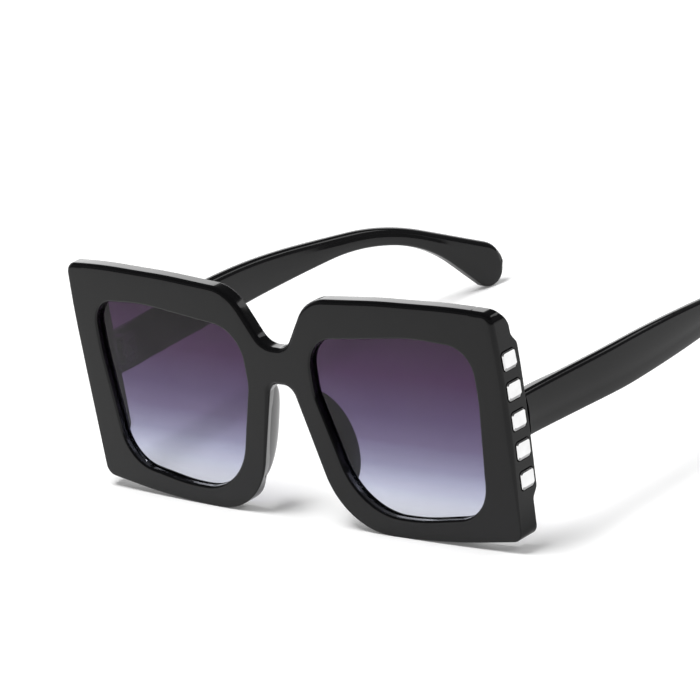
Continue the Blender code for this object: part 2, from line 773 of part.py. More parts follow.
def temple_blank(side):
    """A temple's body, bent to its splay and bow."""
    mesh = flat_plate([temple_outline()], TEMPLE_HINGE_THICKNESS, TEMPLE_EDGE_ROUND)
    mesh.transform(Matrix(((0, 0, 1, 0), (1, 0, 0, 0), (0, 1, 0, 0), (0, 0, 0, 1))))
    steps = math.floor(TEMPLE_LENGTH / TEMPLE_STEP)
    sliced(mesh, [step * TEMPLE_STEP for step in range(1, steps + 1)], Vector((0, 1, 0)))

    def rule(place):
        thinned_by = temple_thickness(place.y) / TEMPLE_HINGE_THICKNESS
        x = TEMPLE_MIDDLE_X + temple_middle(place.y) + place.x * thinned_by
        return Vector((side * x, place.y + BUTT_Y, place.z))
    bent(mesh, rule)
    if side < 0:
        mesh.flip_normals()
    return mesh


def middle_height(s):
    """Height of the middle of a temple's side at a distance from its hinge end."""
    line = temple_outline()
    heights = []
    for i, point in enumerate(line):
        before = line[i - 1]
        low, high = sorted((before.x, point.x))
        if low <= s <= high and high > low:
            share = (s - before.x) / (point.x - before.x)
            heights.append(before.y + share * (point.y - before.y))
    return (min(heights) + max(heights)) / 2


def core_points(side, first, last):
    """Route of the wire core along the middle of a temple."""
    count = math.ceil((last - first) / CORE_POINT_STEP)
    points = []
    for i in range(count + 1):
        s = first + (last - first) * i / count
        height = middle_height(max(s, SEAT_GAP))
        points.append(Vector((side * (TEMPLE_MIDDLE_X + temple_middle(s)), BUTT_Y + s, height)))
    return points


def tube_mesh(points, radius):
    """A round tube along points, with closed ends."""
    curve = bpy.data.curves.new("tube", "CURVE")
    curve.dimensions = "3D"
    curve.bevel_depth = radius
    curve.bevel_resolution = 2
    curve.use_fill_caps = True
    spline = curve.splines.new("POLY")
    spline.points.add(len(points) - 1)
    for knot, point in zip(spline.points, points):
        knot.co = (*point, 1)
    made = bpy.data.objects.new("tube", curve)
    bpy.context.scene.collection.objects.link(made)
    bpy.context.view_layer.update()
    mesh = mesh_of(made)
    weld(mesh)
    return mesh


def temple_leaf_recess(side, grow):
    """Plate of a temple's hinge leaf, grown by a clearance for its recess."""
    inner = TEMPLE_INNER_X - (CUT_OVERRUN if grow else 0)
    xs = sorted((side * inner, side * (TEMPLE_INNER_X + LEAF_THICKNESS + grow)))
    front = BUTT_Y + SEAT_GAP if not grow else BUTT_Y - CUT_OVERRUN
    back = BUTT_Y + SEAT_GAP + TEMPLE_LEAF_LENGTH + grow
    return box_mesh((xs[0], front, HINGE_BOTTOM - grow),
                    (xs[1], back, HINGE_BOTTOM + HINGE_HEIGHT + grow))


def temple_studs(side, grow=0.0):
    """Studs that anchor a temple leaf in its temple."""
    y = BUTT_Y + SEAT_GAP + TEMPLE_LEAF_LENGTH / 2
    start = side * (TEMPLE_INNER_X + LEAF_THICKNESS / 2)
    end = side * (TEMPLE_INNER_X + LEAF_THICKNESS + TEMPLE_STUD_LENGTH + grow)
    return [rod_mesh((start, y, z), (end, y, z), STUD_RADIUS + grow) for z in stud_heights()]


def build_temple(name, side, parts, cutters, root, axis, black, steel, lean, level):
    home = Matrix.Translation(-Vector(axis.location))
    mesh = temple_blank(side)
    mesh.transform(home)
    temple = new_object(name + "_temple", mesh, parts, axis, black)

    def cut(label, cutter_mesh):
        cutter_mesh.transform(home)
        combine(temple, new_cutter(name + label, cutter_mesh, cutters, axis), "DIFFERENCE")
    cut("_core_bore", tube_mesh(core_points(side, -CUT_OVERRUN, CORE_LENGTH + SEAT_GAP),
                                CORE_RADIUS + SEAT_GAP))
    cut("_temple_leaf_recess", temple_leaf_recess(side, SEAT_GAP))
    cut("_temple_stud_holes", joined(temple_studs(side, SEAT_GAP)))
    combine(temple, resting_plane(name + "_tip_land", cutters, root, lean, level), "DIFFERENCE")
    smoothed(temple)
    core = tube_mesh(core_points(side, SEAT_GAP, CORE_LENGTH), CORE_RADIUS)
    core.transform(home)
    smoothed(new_object(name + "_core_wire", core, parts, axis, steel))


# Hinges

def knuckle_span(i):
    low = HINGE_BOTTOM + i * (KNUCKLE_HEIGHT + KNUCKLE_GAP)
    return low, low + KNUCKLE_HEIGHT


def leaf_object(name, meshes, bore, parts, cutters, parent, steel, home):
    """A hinge leaf: its solids joined, then bored for the screw."""
    for mesh in meshes + [bore]:
        mesh.transform(home)
    leaf = new_object(name, meshes[0], parts, parent, steel)
    for i, mesh in enumerate(meshes[1:]):
        combine(leaf, new_cutter(f"{name}_piece_{i + 1}", mesh, cutters, parent), "UNION")
    combine(leaf, new_cutter(name + "_bore", bore, cutters, parent), "DIFFERENCE")
    smoothed(leaf)


def hinge_bore(side):
    low, high = HINGE_BOTTOM - CUT_OVERRUN, HINGE_BOTTOM + HINGE_HEIGHT + CUT_OVERRUN
    return rod_mesh((side * HINGE_X, HINGE_Y, low), (side * HINGE_X, HINGE_Y, high),
                    SCREW_RADIUS + SEAT_GAP)


def knuckles(side, numbers, web_low, web_high):
    """Barrels of one leaf and the webs that carry them."""
    meshes = []
    for i in numbers:
        low, high = knuckle_span(i)
        xs = sorted((side * web_low[0], side * web_high[0]))
        meshes.append(rod_mesh((side * HINGE_X, HINGE_Y, low), (side * HINGE_X, HINGE_Y, high),
                               KNUCKLE_RADIUS))
        meshes.append(box_mesh((xs[0], web_low[1], low), (xs[1], web_high[1], high)))
    return meshes


def build_front_leaf(name, side, parts, cutters, root, steel):
    low_x, high_x = front_leaf_span()
    xs = sorted((side * low_x, side * high_x))
    plate = box_mesh((xs[0], LUG_BACK_Y - LEAF_THICKNESS, HINGE_BOTTOM),
                     (xs[1], LUG_BACK_Y, HINGE_BOTTOM + HINGE_HEIGHT))
    webs = knuckles(side, range(0, KNUCKLE_COUNT, 2),
                    (low_x, LUG_BACK_Y - LEAF_THICKNESS / 2),
                    (HINGE_X + WEB_HALF_WIDTH, HINGE_Y))
    leaf_object(name + "_front_leaf", [plate] + webs + front_studs(side), hinge_bore(side),
                parts, cutters, root, steel, Matrix.Identity(4))


def build_temple_leaf(name, side, parts, cutters, axis, steel):
    home = Matrix.Translation(-Vector(axis.location))
    webs = knuckles(side, range(1, KNUCKLE_COUNT, 2),
                    (HINGE_X, HINGE_Y - WEB_HALF_WIDTH),
                    (TEMPLE_INNER_X + LEAF_THICKNESS / 2, HINGE_Y + WEB_HALF_WIDTH))
    leaf_object(name + "_temple_leaf", [temple_leaf_recess(side, 0)] + webs + temple_studs(side),
                hinge_bore(side), parts, cutters, axis, steel, home)


def build_screw(name, side, parts, cutters, root, steel):
    """A hinge screw, turned from its half profile, with a slot across its head."""
    low = HINGE_BOTTOM
    neck = HINGE_BOTTOM + HINGE_HEIGHT + KNUCKLE_GAP
    top = neck + SCREW_HEAD_HEIGHT
    profile = [(0, top), (SCREW_HEAD_RADIUS, top), (SCREW_HEAD_RADIUS, neck),
               (SCREW_RADIUS, neck), (SCREW_RADIUS, low), (0, low)]
    mesh = bpy.data.meshes.new(name)
    mesh.from_pydata([(x, 0, z - HINGE_LEVEL) for x, z in profile],
                     [(i, i + 1) for i in range(len(profile) - 1)], [])
    place = (side * HINGE_X, HINGE_Y, HINGE_LEVEL)
    screw = new_object(name + "_hinge_screw", mesh, parts, root, steel, place)
    turn = screw.modifiers.new("turn", "SCREW")
    turn.steps = ROUND_SIDES
    turn.render_steps = ROUND_SIDES
    turn.use_merge_vertices = True
    turn.merge_threshold = SEAT_GAP * WELD_SHARE
    turn.use_smooth_shade = False
    reach = SCREW_HEAD_RADIUS + CUT_OVERRUN
    slot = box_mesh((-reach, -SCREW_SLOT_WIDTH / 2, top - SCREW_SLOT_DEPTH - HINGE_LEVEL),
                    (reach, SCREW_SLOT_WIDTH / 2, top + CUT_OVERRUN - HINGE_LEVEL))
    slot.transform(Matrix.Translation(place))
    combine(screw, new_cutter(name + "_screw_slot", slot, cutters, root), "DIFFERENCE")


def centred(parts, root):
    """Moves the whole so that its box is centred over the origin, front to back."""
    bpy.context.view_layer.update()
    graph = bpy.context.evaluated_depsgraph_get()
    spans = []
    for made in parts.objects:
        if made.type == "MESH":
            shape = made.evaluated_get(graph)
            spans += [(made.matrix_world @ vertex.co).y for vertex in shape.data.vertices]
    root.location.y -= (min(spans) + max(spans)) / 2
    bpy.context.view_layer.update()


def main():
    clear_scene()
    parts = new_collection("square_sunglasses")
    cutters = new_collection("cutters")
    black = new_material("gloss_black", (0.012, 0.012, 0.013), 0.12)
    tint = new_material("gradient_tint", (0.16, 0.12, 0.20), 0.05, transmission=0.6)
    crystal = new_material("crystal", (0.92, 0.93, 0.95), 0.04, transmission=0.5)
    steel = new_material("hinge_steel", (0.10, 0.10, 0.105), 0.28, metallic=1.0)

    lean, level = rest_level()
    root = new_axis("resting_pose", parts, None, (0, 0, -level))
    root.rotation_euler.x = -lean
    build_front(parts, cutters, root, black, lean, level)
    build_lenses(parts, root, tint)
    build_crystals(parts, root, crystal)
    build_pads(parts, root, black)
    for name, side in (("left", 1), ("right", -1)):
        axis = new_axis(name + "_hinge_axis", parts, root,
                        (side * HINGE_X, HINGE_Y, HINGE_LEVEL))
        build_temple(name, side, parts, cutters, root, axis, black, steel, lean, level)
        build_front_leaf(name, side, parts, cutters, root, steel)
        build_temple_leaf(name, side, parts, cutters, axis, steel)
        build_screw(name, side, parts, cutters, root, steel)
    centred(parts, root)


main()
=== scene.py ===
"""Square black sunglasses, dressed for a plain studio picture.

They lie open on a pale table.  Sections follow the way the glasses are made:
the front is cut and polished, then glazed, set with its crystals and pads, and
hung with its temples.  Metres, +Z up, and the wearer's left is at +X.
"""

import json
import math

import bmesh
import bpy
from mathutils import Matrix, Vector


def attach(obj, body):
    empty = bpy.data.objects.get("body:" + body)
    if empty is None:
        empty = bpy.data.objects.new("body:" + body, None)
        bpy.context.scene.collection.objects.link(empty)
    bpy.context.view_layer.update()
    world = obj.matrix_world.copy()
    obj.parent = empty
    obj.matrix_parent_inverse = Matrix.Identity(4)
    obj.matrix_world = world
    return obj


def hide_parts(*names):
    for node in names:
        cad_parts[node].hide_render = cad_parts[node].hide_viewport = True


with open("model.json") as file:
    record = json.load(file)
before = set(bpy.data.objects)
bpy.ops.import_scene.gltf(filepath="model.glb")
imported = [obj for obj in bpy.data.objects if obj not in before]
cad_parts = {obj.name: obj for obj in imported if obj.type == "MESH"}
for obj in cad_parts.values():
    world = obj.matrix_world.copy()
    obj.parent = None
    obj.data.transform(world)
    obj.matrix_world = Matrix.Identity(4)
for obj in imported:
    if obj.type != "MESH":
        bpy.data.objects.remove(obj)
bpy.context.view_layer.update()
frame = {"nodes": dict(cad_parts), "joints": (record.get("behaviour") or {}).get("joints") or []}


# Where the glasses stand
# The front is drawn upright in its own frame, its face at y = 0 and its rims on
# z = 0, and then leans back a little to rest on rims and temple tips.  The left
# hinge's pin is known in both frames, so it ties the one to the other.

HINGE_X = 0.06695
pin_in_front = Vector((HINGE_X, 0.01102, 0.0345))
left_fold = next(joint for joint in frame["joints"] if joint["name"] == "left_temple_fold")
pin_direction = Vector(left_fold["axis"])
lean = math.atan2(pin_direction.y, pin_direction.z)
lean_turn = Matrix.Rotation(-lean, 4, "X")
pin_at_rest = Vector(left_fold["pos_m"])
resting = Matrix.Translation(pin_at_rest - lean_turn @ pin_in_front) @ lean_turn


# Table, light and camera
# A white sweep under four soft boxes: the key overhead, one low on the right, one
# low behind that draws the pale line along the top edges, and a strip for their
# glints.  The room is dark but for one white wall, so rounded edges turn black.

def node(tree, kind, place, **inputs):
    """A shader node at a place in its tree, with some of its inputs set."""
    made = tree.nodes.new(kind)
    made.location = place
    for name, value in inputs.items():
        made.inputs[name.replace("_", " ")].default_value = value
    return made


def seen_straight(tree, place):
    """1 for rays that see a thing straight or through glass, and the ray node."""
    path = node(tree, "ShaderNodeLightPath", place)
    either = node(tree, "ShaderNodeMath", (place[0] + 200, place[1]))
    either.operation = "MAXIMUM"
    tree.links.new(path.outputs["Is Camera Ray"], either.inputs[0])
    tree.links.new(path.outputs["Is Transmission Ray"], either.inputs[1])
    return either.outputs[0], path


ROOM_LIGHT = 0.18
DARK_WALL, CEILING = 0.20, 0.08
WALL_TOP, CEILING_START = math.radians(24), math.radians(37)
WHITE_WALL_EDGE, WHITE_WALL_FULL = math.radians(65), math.radians(30)
room = bpy.data.worlds.new("room")
bpy.context.scene.world = room
room.use_nodes = True
tree = room.node_tree
background = tree.nodes["Background"]
background.inputs["Color"].default_value = (1, 1, 1, 1)
straight, path = seen_straight(tree, (-1100, 0))
towards = node(tree, "ShaderNodeTexCoord", (-1100, -300))
heights = node(tree, "ShaderNodeSeparateXYZ", (-900, -300))
tree.links.new(towards.outputs["Generated"], heights.inputs[0])
leftwards = node(tree, "ShaderNodeMath", (-900, -550))
leftwards.operation = "SUBTRACT"
tree.links.new(heights.outputs["Y"], leftwards.inputs[0])
tree.links.new(heights.outputs["X"], leftwards.inputs[1])
walls = node(tree, "ShaderNodeMapRange", (-700, -550), To_Min=DARK_WALL, To_Max=1.0,
             From_Min=math.sqrt(2) * math.cos(WHITE_WALL_EDGE),
             From_Max=math.sqrt(2) * math.cos(WHITE_WALL_FULL))
tree.links.new(leftwards.outputs[0], walls.inputs["Value"])
mirrored_room = node(tree, "ShaderNodeMapRange", (-700, -300), To_Max=CEILING,
                     From_Min=math.sin(WALL_TOP), From_Max=math.sin(CEILING_START))
mirrored_room.interpolation_type = "SMOOTHSTEP"
tree.links.new(heights.outputs["Z"], mirrored_room.inputs["Value"])
tree.links.new(walls.outputs["Result"], mirrored_room.inputs["To Min"])
unseen = node(tree, "ShaderNodeMapRange", (-450, -100), To_Min=ROOM_LIGHT)
tree.links.new(path.outputs["Is Glossy Ray"], unseen.inputs["Value"])
tree.links.new(mirrored_room.outputs["Result"], unseen.inputs["To Max"])
strength = node(tree, "ShaderNodeMapRange", (-200, 0), To_Max=1.0)
tree.links.new(straight, strength.inputs["Value"])
tree.links.new(unseen.outputs["Result"], strength.inputs["To Min"])
tree.links.new(strength.outputs["Result"], background.inputs["Strength"])

TABLE_REACH = 3.0
TABLE_COLOUR = (0.90, 0.90, 0.90, 1)
TABLE_GLOW, TABLE_GLOW_FAR = 0.12, 0.85
POOL_EDGE, POOL_END = 0.15, 0.80
table_top = bpy.data.meshes.new("table_top")
table_top.from_pydata([(-TABLE_REACH, -TABLE_REACH, 0), (TABLE_REACH, -TABLE_REACH, 0),
                       (TABLE_REACH, TABLE_REACH, 0), (-TABLE_REACH, TABLE_REACH, 0)],
                      [], [(0, 1, 2, 3)])
table = bpy.data.objects.new("table_top", table_top)
bpy.context.scene.collection.objects.link(table)
paper = bpy.data.materials.new("white_paper")
paper.use_nodes = True
tree = paper.node_tree
shader = tree.nodes["Principled BSDF"]
shader.inputs["Base Color"].default_value = TABLE_COLOUR
shader.inputs["Roughness"].default_value = 0.9
shader.inputs["Specular IOR Level"].default_value = 0.0
shader.inputs["Emission Color"].default_value = (1, 1, 1, 1)
straight, path = seen_straight(tree, (-900, 0))
spot = node(tree, "ShaderNodeTexCoord", (-900, -300))
away = node(tree, "ShaderNodeVectorMath", (-700, -300))
away.operation = "LENGTH"
tree.links.new(spot.outputs["Object"], away.inputs[0])
pool = node(tree, "ShaderNodeMapRange", (-500, -300), To_Min=TABLE_GLOW,
            To_Max=TABLE_GLOW_FAR, From_Min=POOL_EDGE, From_Max=POOL_END)
tree.links.new(away.outputs["Value"], pool.inputs["Value"])
glow = node(tree, "ShaderNodeMapRange", (-200, 0), To_Min=0.0)
tree.links.new(straight, glow.inputs["Value"])
tree.links.new(pool.outputs["Result"], glow.inputs["To Max"])
tree.links.new(glow.outputs["Result"], shader.inputs["Emission Strength"])
table_top.materials.append(paper)


def soft_box(name, place, aim, width, height, power, in_mirrors=True):
    """A soft box that shines at a point and shows itself in mirrors at most."""
    lamp = bpy.data.lights.new(name, "AREA")
    lamp.shape = "RECTANGLE"
    lamp.size = width
    lamp.size_y = height
    lamp.energy = power
    box = bpy.data.objects.new(name, lamp)
    bpy.context.scene.collection.objects.link(box)
    box.location = place
    box.rotation_mode = "QUATERNION"
    box.rotation_quaternion = (Vector(place) - Vector(aim)).to_track_quat("Z", "Y")
    box.visible_camera = False
    box.visible_glossy = in_mirrors


soft_box("key_box", (-0.07, -0.14, 0.76), (0, 0, 0.02), 0.34, 0.34, 5.9, in_mirrors=False)
soft_box("side_box", (0.46, 0.20, 0.30), (0.16, 0.06, 0), 0.40, 0.30, 0.9, in_mirrors=False)
soft_box("back_box", (-0.42, 0.42, 0.24), (0, -0.03, 0.04), 0.60, 0.26, 0.85)
soft_box("strip_box", (0.36, 0.60, 0.58), (0, 0.02, 0.04), 0.30, 0.16, 0.4)

CAMERA_AZIMUTH = math.radians(44.81)
CAMERA_ELEVATION = math.radians(18.50)
CAMERA_ROLL = math.radians(-9.849)
CAMERA_DISTANCE = 1.0745
CAMERA_AIM = Vector((0.02663, 0, 0.04915))
back = Vector((math.sin(CAMERA_AZIMUTH) * math.cos(CAMERA_ELEVATION),
               -math.cos(CAMERA_AZIMUTH) * math.cos(CAMERA_ELEVATION),
               math.sin(CAMERA_ELEVATION)))
right = Vector((math.cos(CAMERA_AZIMUTH), math.sin(CAMERA_AZIMUTH), 0))
up = back.cross(right)
across = right * math.cos(CAMERA_ROLL) + up * math.sin(CAMERA_ROLL)
upward = up * math.cos(CAMERA_ROLL) - right * math.sin(CAMERA_ROLL)
optics = bpy.data.cameras.new("camera")
optics.sensor_width = 36
optics.lens = 226.3
optics.clip_start, optics.clip_end = 0.05, 20
camera = bpy.data.objects.new("camera", optics)
bpy.context.scene.collection.objects.link(camera)
turn = Matrix((across, upward, back)).transposed().to_4x4()
camera.matrix_world = resting @ Matrix.Translation(CAMERA_AIM + back * CAMERA_DISTANCE) @ turn
bpy.context.scene.camera = camera
bpy.context.scene.view_settings.view_transform = "Standard"


# Front
# The frame front is one sheet of black plastic, routed to shape with both lens
# openings and their grooves, its edges tumbled round.  The outer ends are
# deeper, to take the crystals, and deepest at the lugs that carry the hinges.

LENS_SIZE = Vector((0.0530, 0.0484))
LENS_MIDDLE = Vector((0.03795, 0.02945))
FRONT_HALF_WIDTH = 0.0730
FRONT_HEIGHT = 0.0628
SHEET_THICKNESS = 0.0038
EDGE_ROUND = 0.0006
EDGE_STEPS = 5
OUTER_ROUND, BACK_ROUND = 0.0012, 0.0003
LOW_ROUND_SHARE = 0.25
LOW_ROUND_START, LOW_ROUND_LENGTH = 0.004, 0.030
GROOVE_DEPTH = 0.0011
GROOVE_FRONT, GROOVE_BACK = 0.00150, 0.00310
NOTCH_FLOOR = 0.04665
BRIDGE_UNDERSIDE = 0.03675
ARCH_HALF_WIDTH = 0.0037
RIM_FOOT_SHARE = 0.1993
GENTLE, LENS_GENTLE = 0.200, 0.060
# Corners of the outer edge, as shares of half the width and of the height, and
# how far each is rounded
OUTER_EDGE = ((0.9925, 0.988, 0.0032), (1.0, 0.783, GENTLE), (0.9945, 0.497, GENTLE),
              (0.9747, 0.0557, 0.0030))
ARC_STEP = math.radians(5.0)
ARC_LENGTH = 0.0015


def rounded(corners):
    """A closed line through corners (x, z, radius), each rounded by an arc."""
    places = [Vector(corner[:2]) for corner in corners]
    count = len(places)
    turns, reach = [], []
    for i in range(count):
        before = (places[i] - places[i - 1]).normalized()
        after = (places[(i + 1) % count] - places[i]).normalized()
        turns.append(math.atan2(before.cross(after), before.dot(after)))
        reach.append(corners[i][2] * abs(math.tan(turns[i] / 2)))
    fitted = list(reach)
    for i in range(count):
        j = (i + 1) % count
        share = (places[j] - places[i]).length / max(reach[i] + reach[j], ARC_LENGTH / 100)
        if share < 1:
            fitted[i] = min(fitted[i], reach[i] * share)
            fitted[j] = min(fitted[j], reach[j] * share)
    line = []
    for i in range(count):
        if fitted[i] == 0:
            line.append(places[i])
            continue
        before = (places[i] - places[i - 1]).normalized()
        radius = fitted[i] / abs(math.tan(turns[i] / 2))
        start = places[i] - before * fitted[i]
        centre = start + Vector((-before.y, before.x)) * math.copysign(radius, turns[i])
        steps = max(1, math.ceil(abs(turns[i]) / ARC_STEP),
                    math.ceil(abs(turns[i]) * radius / ARC_LENGTH))
        for k in range(steps + 1):
            point = centre + Matrix.Rotation(turns[i] * k / steps, 2) @ (start - centre)
            if not line or (point - line[-1]).length > EDGE_ROUND / 10:
                line.append(point)
    return line


def offset(line, distance):
    """A counter-clockwise closed line moved outwards by a distance."""
    moved = []
    for i, point in enumerate(line):
        before = (point - line[i - 1]).normalized()
        after = (line[(i + 1) % len(line)] - point).normalized()
        normal = Vector((before.y + after.y, -before.x - after.x)).normalized()
        moved.append(point + normal * distance / normal.dot(Vector((after.y, -after.x))))
    return moved


def rim_inside(z):
    """Inner edge of the rim beside the nose at a height."""
    foot = RIM_FOOT_SHARE * FRONT_HALF_WIDTH
    return foot + z / BRIDGE_UNDERSIDE * (ARCH_HALF_WIDTH - foot)


def front_line():
    """Outer line of the front, with the notch above the bridge and the arch below."""
    half = [(0.0040, NOTCH_FLOOR, 0.0060), (0.0132, FRONT_HEIGHT - 0.00195, 0.012)]
    shares = [(0.493, 0.993, GENTLE), (0.840, 1.0, GENTLE), *OUTER_EDGE,
              (0.740, 0.0199, GENTLE), (0.535, 0.0, GENTLE), (RIM_FOOT_SHARE, 0.0, 0.020)]
    half += [(x * FRONT_HALF_WIDTH, z * FRONT_HEIGHT, radius) for x, z, radius in shares]
    half.append((ARCH_HALF_WIDTH, BRIDGE_UNDERSIDE, 0.0035))
    other = [(-x, z, radius) for x, z, radius in reversed(half)]
    return list(reversed(rounded(half + other)))


def opening_line():
    """Line of the left lens's opening: upright outside, swept away at the nose."""
    shares = [(-0.998, 0.855, 0.0095), (-1.0038, 0.25, 0.012), (-0.662, -1.0, 0.018),
              (0.077, -1.002, LENS_GENTLE), (0.885, -0.8636, 0.011),
              (1.002, 0.401, LENS_GENTLE), (0.991, 0.9545, 0.0075),
              (0.304, 1.002, LENS_GENTLE)]
    return rounded([(LENS_MIDDLE.x + x * LENS_SIZE.x / 2, LENS_MIDDLE.y + z * LENS_SIZE.y / 2,
                     radius) for x, z, radius in shares])


def mirrored(line):
    """A line's mirror image, turning the same way as the line."""
    return [Vector((-point.x, point.y)) for point in reversed(line)]


def edge_profile(face_round, back_round, groove=False):
    """Steps (inwards, back) over a tumbled edge, from the face to the back."""
    turns = [math.pi / 2 * k / EDGE_STEPS for k in range(EDGE_STEPS + 1)]
    arc = [(1 - math.sin(turn), 1 - math.cos(turn)) for turn in turns]
    front = [(face_round * inwards, face_round * deep) for inwards, deep in arc]
    rear = [(back_round * inwards, SHEET_THICKNESS - back_round * deep)
            for inwards, deep in reversed(arc)]
    middle = []
    if groove:
        middle = [(0, GROOVE_FRONT), (GROOVE_DEPTH, GROOVE_FRONT),
                  (GROOVE_DEPTH, GROOVE_BACK), (0, GROOVE_BACK)]
    return front + middle + rear


def eased(value, start, length):
    """Goes smoothly from 0 to 1 over a length."""
    share = min(1.0, max(0.0, (value - start) / length))
    return share * share * (3 - 2 * share)


def add_walls(work, line, profile, outwards, low_share=1.0):
    """Sweeps an edge profile along a line and gives its first and last rings.

    Where the line runs low, the edge is only rounded by a share of the profile.
    """
    shares = [low_share + (1 - low_share) * eased(point.y, LOW_ROUND_START, LOW_ROUND_LENGTH)
              for point in line]
    rings = []
    for inwards, deep in profile:
        ring = []
        for start, moved, share in zip(line, offset(line, inwards * outwards), shares):
            place = start.lerp(moved, share)
            face = 0 if deep < SHEET_THICKNESS / 2 else SHEET_THICKNESS
            ring.append(work.verts.new((place.x, face + (deep - face) * share, place.y)))
        rings.append(ring)
    for first, second in zip(rings, rings[1:]):
        for i in range(len(line)):
            work.faces.new((first[i - 1], first[i], second[i], second[i - 1]))
    return rings[0], rings[-1]


def ring_edges(work, ring):
    """The edges round a closed ring of vertices."""
    return [work.edges.get((ring[i - 1], ring[i])) for i in range(len(ring))]


def slice_where(work, place, normal, wanted):
    """Cuts new edges along a plane into the faces that a test picks."""
    faces = [face for face in work.faces if wanted(face)]
    edges = {edge for face in faces for edge in face.edges}
    verts = {vert for face in faces for vert in face.verts}
    bmesh.ops.bisect_plane(work, geom=[*verts, *edges, *faces], plane_co=place,
                           plane_no=normal, dist=EDGE_ROUND / 1000)


WRAP_RADIUS = 1.342


def wrap(x):
    """How far back the front's face lies at a place across it."""
    return x * x / (2 * WRAP_RADIUS)


END_PIECE_START = 0.0658
END_PIECE_RAMP = 0.0006
END_PIECE_DEPTH, LUG_DEPTH = 0.0061, 0.0078
TOP_RAMP, LUG_RAMP = 0.0055, 0.0034
LUG_BOTTOM, LUG_TOP = 0.01585, 0.05215


def extra_depth(x, z):
    """How much deeper than the sheet the end pieces and lugs are."""
    side = eased(abs(x), END_PIECE_START, END_PIECE_RAMP)
    end_piece = eased(FRONT_HEIGHT - z, 0, TOP_RAMP)
    lug = min(eased(z, LUG_BOTTOM - LUG_RAMP, LUG_RAMP),
              eased(LUG_TOP + LUG_RAMP - z, 0, LUG_RAMP))
    return side * (end_piece * (END_PIECE_DEPTH - SHEET_THICKNESS)
                   + lug * (LUG_DEPTH - END_PIECE_DEPTH))


NOSE_SLOPE = 0.5
NOSE_REACH = 0.0060
FLARE_BOTTOM, FLARE_BOTTOM_LENGTH = 0.0020, 0.0080
FLARE_TOP, FLARE_TOP_LENGTH = BRIDGE_UNDERSIDE - 0.0005, 0.0030


def nose_flare(x, y, z):
    """How far the rim beside the nose is bevelled away towards the face."""
    beside = eased(x - rim_inside(z) + NOSE_REACH, 0, EDGE_ROUND)
    beside *= 1 - eased(x - rim_inside(z), EDGE_ROUND, NOSE_REACH - EDGE_ROUND)
    beside *= eased(z, FLARE_BOTTOM, FLARE_BOTTOM_LENGTH)
    beside *= eased(FLARE_TOP - z, 0, FLARE_TOP_LENGTH)
    return NOSE_SLOPE * max(0.0, y - EDGE_ROUND) * beside


def finished(work, name):
    """The mesh of a closed solid, with its faces turned outwards."""
    bmesh.ops.remove_doubles(work, verts=work.verts, dist=EDGE_ROUND / 500)
    bmesh.ops.recalc_face_normals(work, faces=work.faces)
    if work.calc_volume(signed=True) < 0:
        bmesh.ops.reverse_faces(work, faces=work.faces)
    mesh = bpy.data.meshes.new(name)
    work.to_mesh(mesh)
    work.free()
    return mesh


BEND_SLICE, BEND_SLICES = 0.003, 24
RAMP_STEPS, END_STEPS = 6, 4


def front_mesh():
    """The front, from its lines to the bent and deepened sheet."""
    work = bmesh.new()
    faces, backs = [], []
    opening = opening_line()
    outside = edge_profile(OUTER_ROUND, BACK_ROUND)
    rim = edge_profile(EDGE_ROUND, EDGE_ROUND, groove=True)
    for line, profile, outwards, low_share in ((front_line(), outside, -1, LOW_ROUND_SHARE),
                                               (opening, rim, 1, 1.0),
                                               (mirrored(opening), rim, 1, 1.0)):
        first, last = add_walls(work, line, profile, outwards, low_share)
        faces += ring_edges(work, first)
        backs += ring_edges(work, last)
    for edges in (faces, backs):
        bmesh.ops.triangle_fill(work, use_beauty=True, edges=edges)
    for k in range(-BEND_SLICES, BEND_SLICES + 1):
        slice_where(work, (k * BEND_SLICE, 0, 0), (1, 0, 0), lambda face: True)

    def outer_end(face):
        """Whether a face lies in the deeper outer end."""
        return abs(face.calc_center_median().x) > END_PIECE_START - END_PIECE_RAMP

    for k in range(END_STEPS + 1):
        for side in (-1, 1):
            place = side * (END_PIECE_START + k * END_PIECE_RAMP / END_STEPS)
            slice_where(work, (place, 0, 0), (1, 0, 0), outer_end)
    heights = [LUG_BOTTOM - LUG_RAMP * k / RAMP_STEPS for k in range(RAMP_STEPS + 1)]
    heights += [LUG_TOP + LUG_RAMP * k / RAMP_STEPS for k in range(RAMP_STEPS + 1)]
    heights += [FRONT_HEIGHT - TOP_RAMP * k / RAMP_STEPS for k in range(1, RAMP_STEPS + 1)]
    for height in heights:
        slice_where(work, (0, 0, height), (0, 0, 1), outer_end)
    for vert in work.verts:
        x, y, z = vert.co
        vert.co.x += math.copysign(nose_flare(abs(x), y, z), x)
        if y > SHEET_THICKNESS / 2:
            vert.co.y += extra_depth(x, z)
        vert.co.y += wrap(x)
    return finished(work, "front_shell")


def box_mesh(low, high):
    """A plain box between two corners, for a cutter."""
    mesh = bpy.data.meshes.new("cutter")
    work = bmesh.new()
    size = [b - a for a, b in zip(low, high)]
    middle = [(a + b) / 2 for a, b in zip(low, high)]
    bmesh.ops.create_cube(work, size=1, matrix=Matrix.LocRotScale(middle, None, size))
    work.to_mesh(mesh)
    work.free()
    return mesh


def new_piece(name, mesh):
    """A mesh as an object of the scene."""
    piece = bpy.data.objects.new(name, mesh)
    bpy.context.scene.collection.objects.link(piece)
    return piece


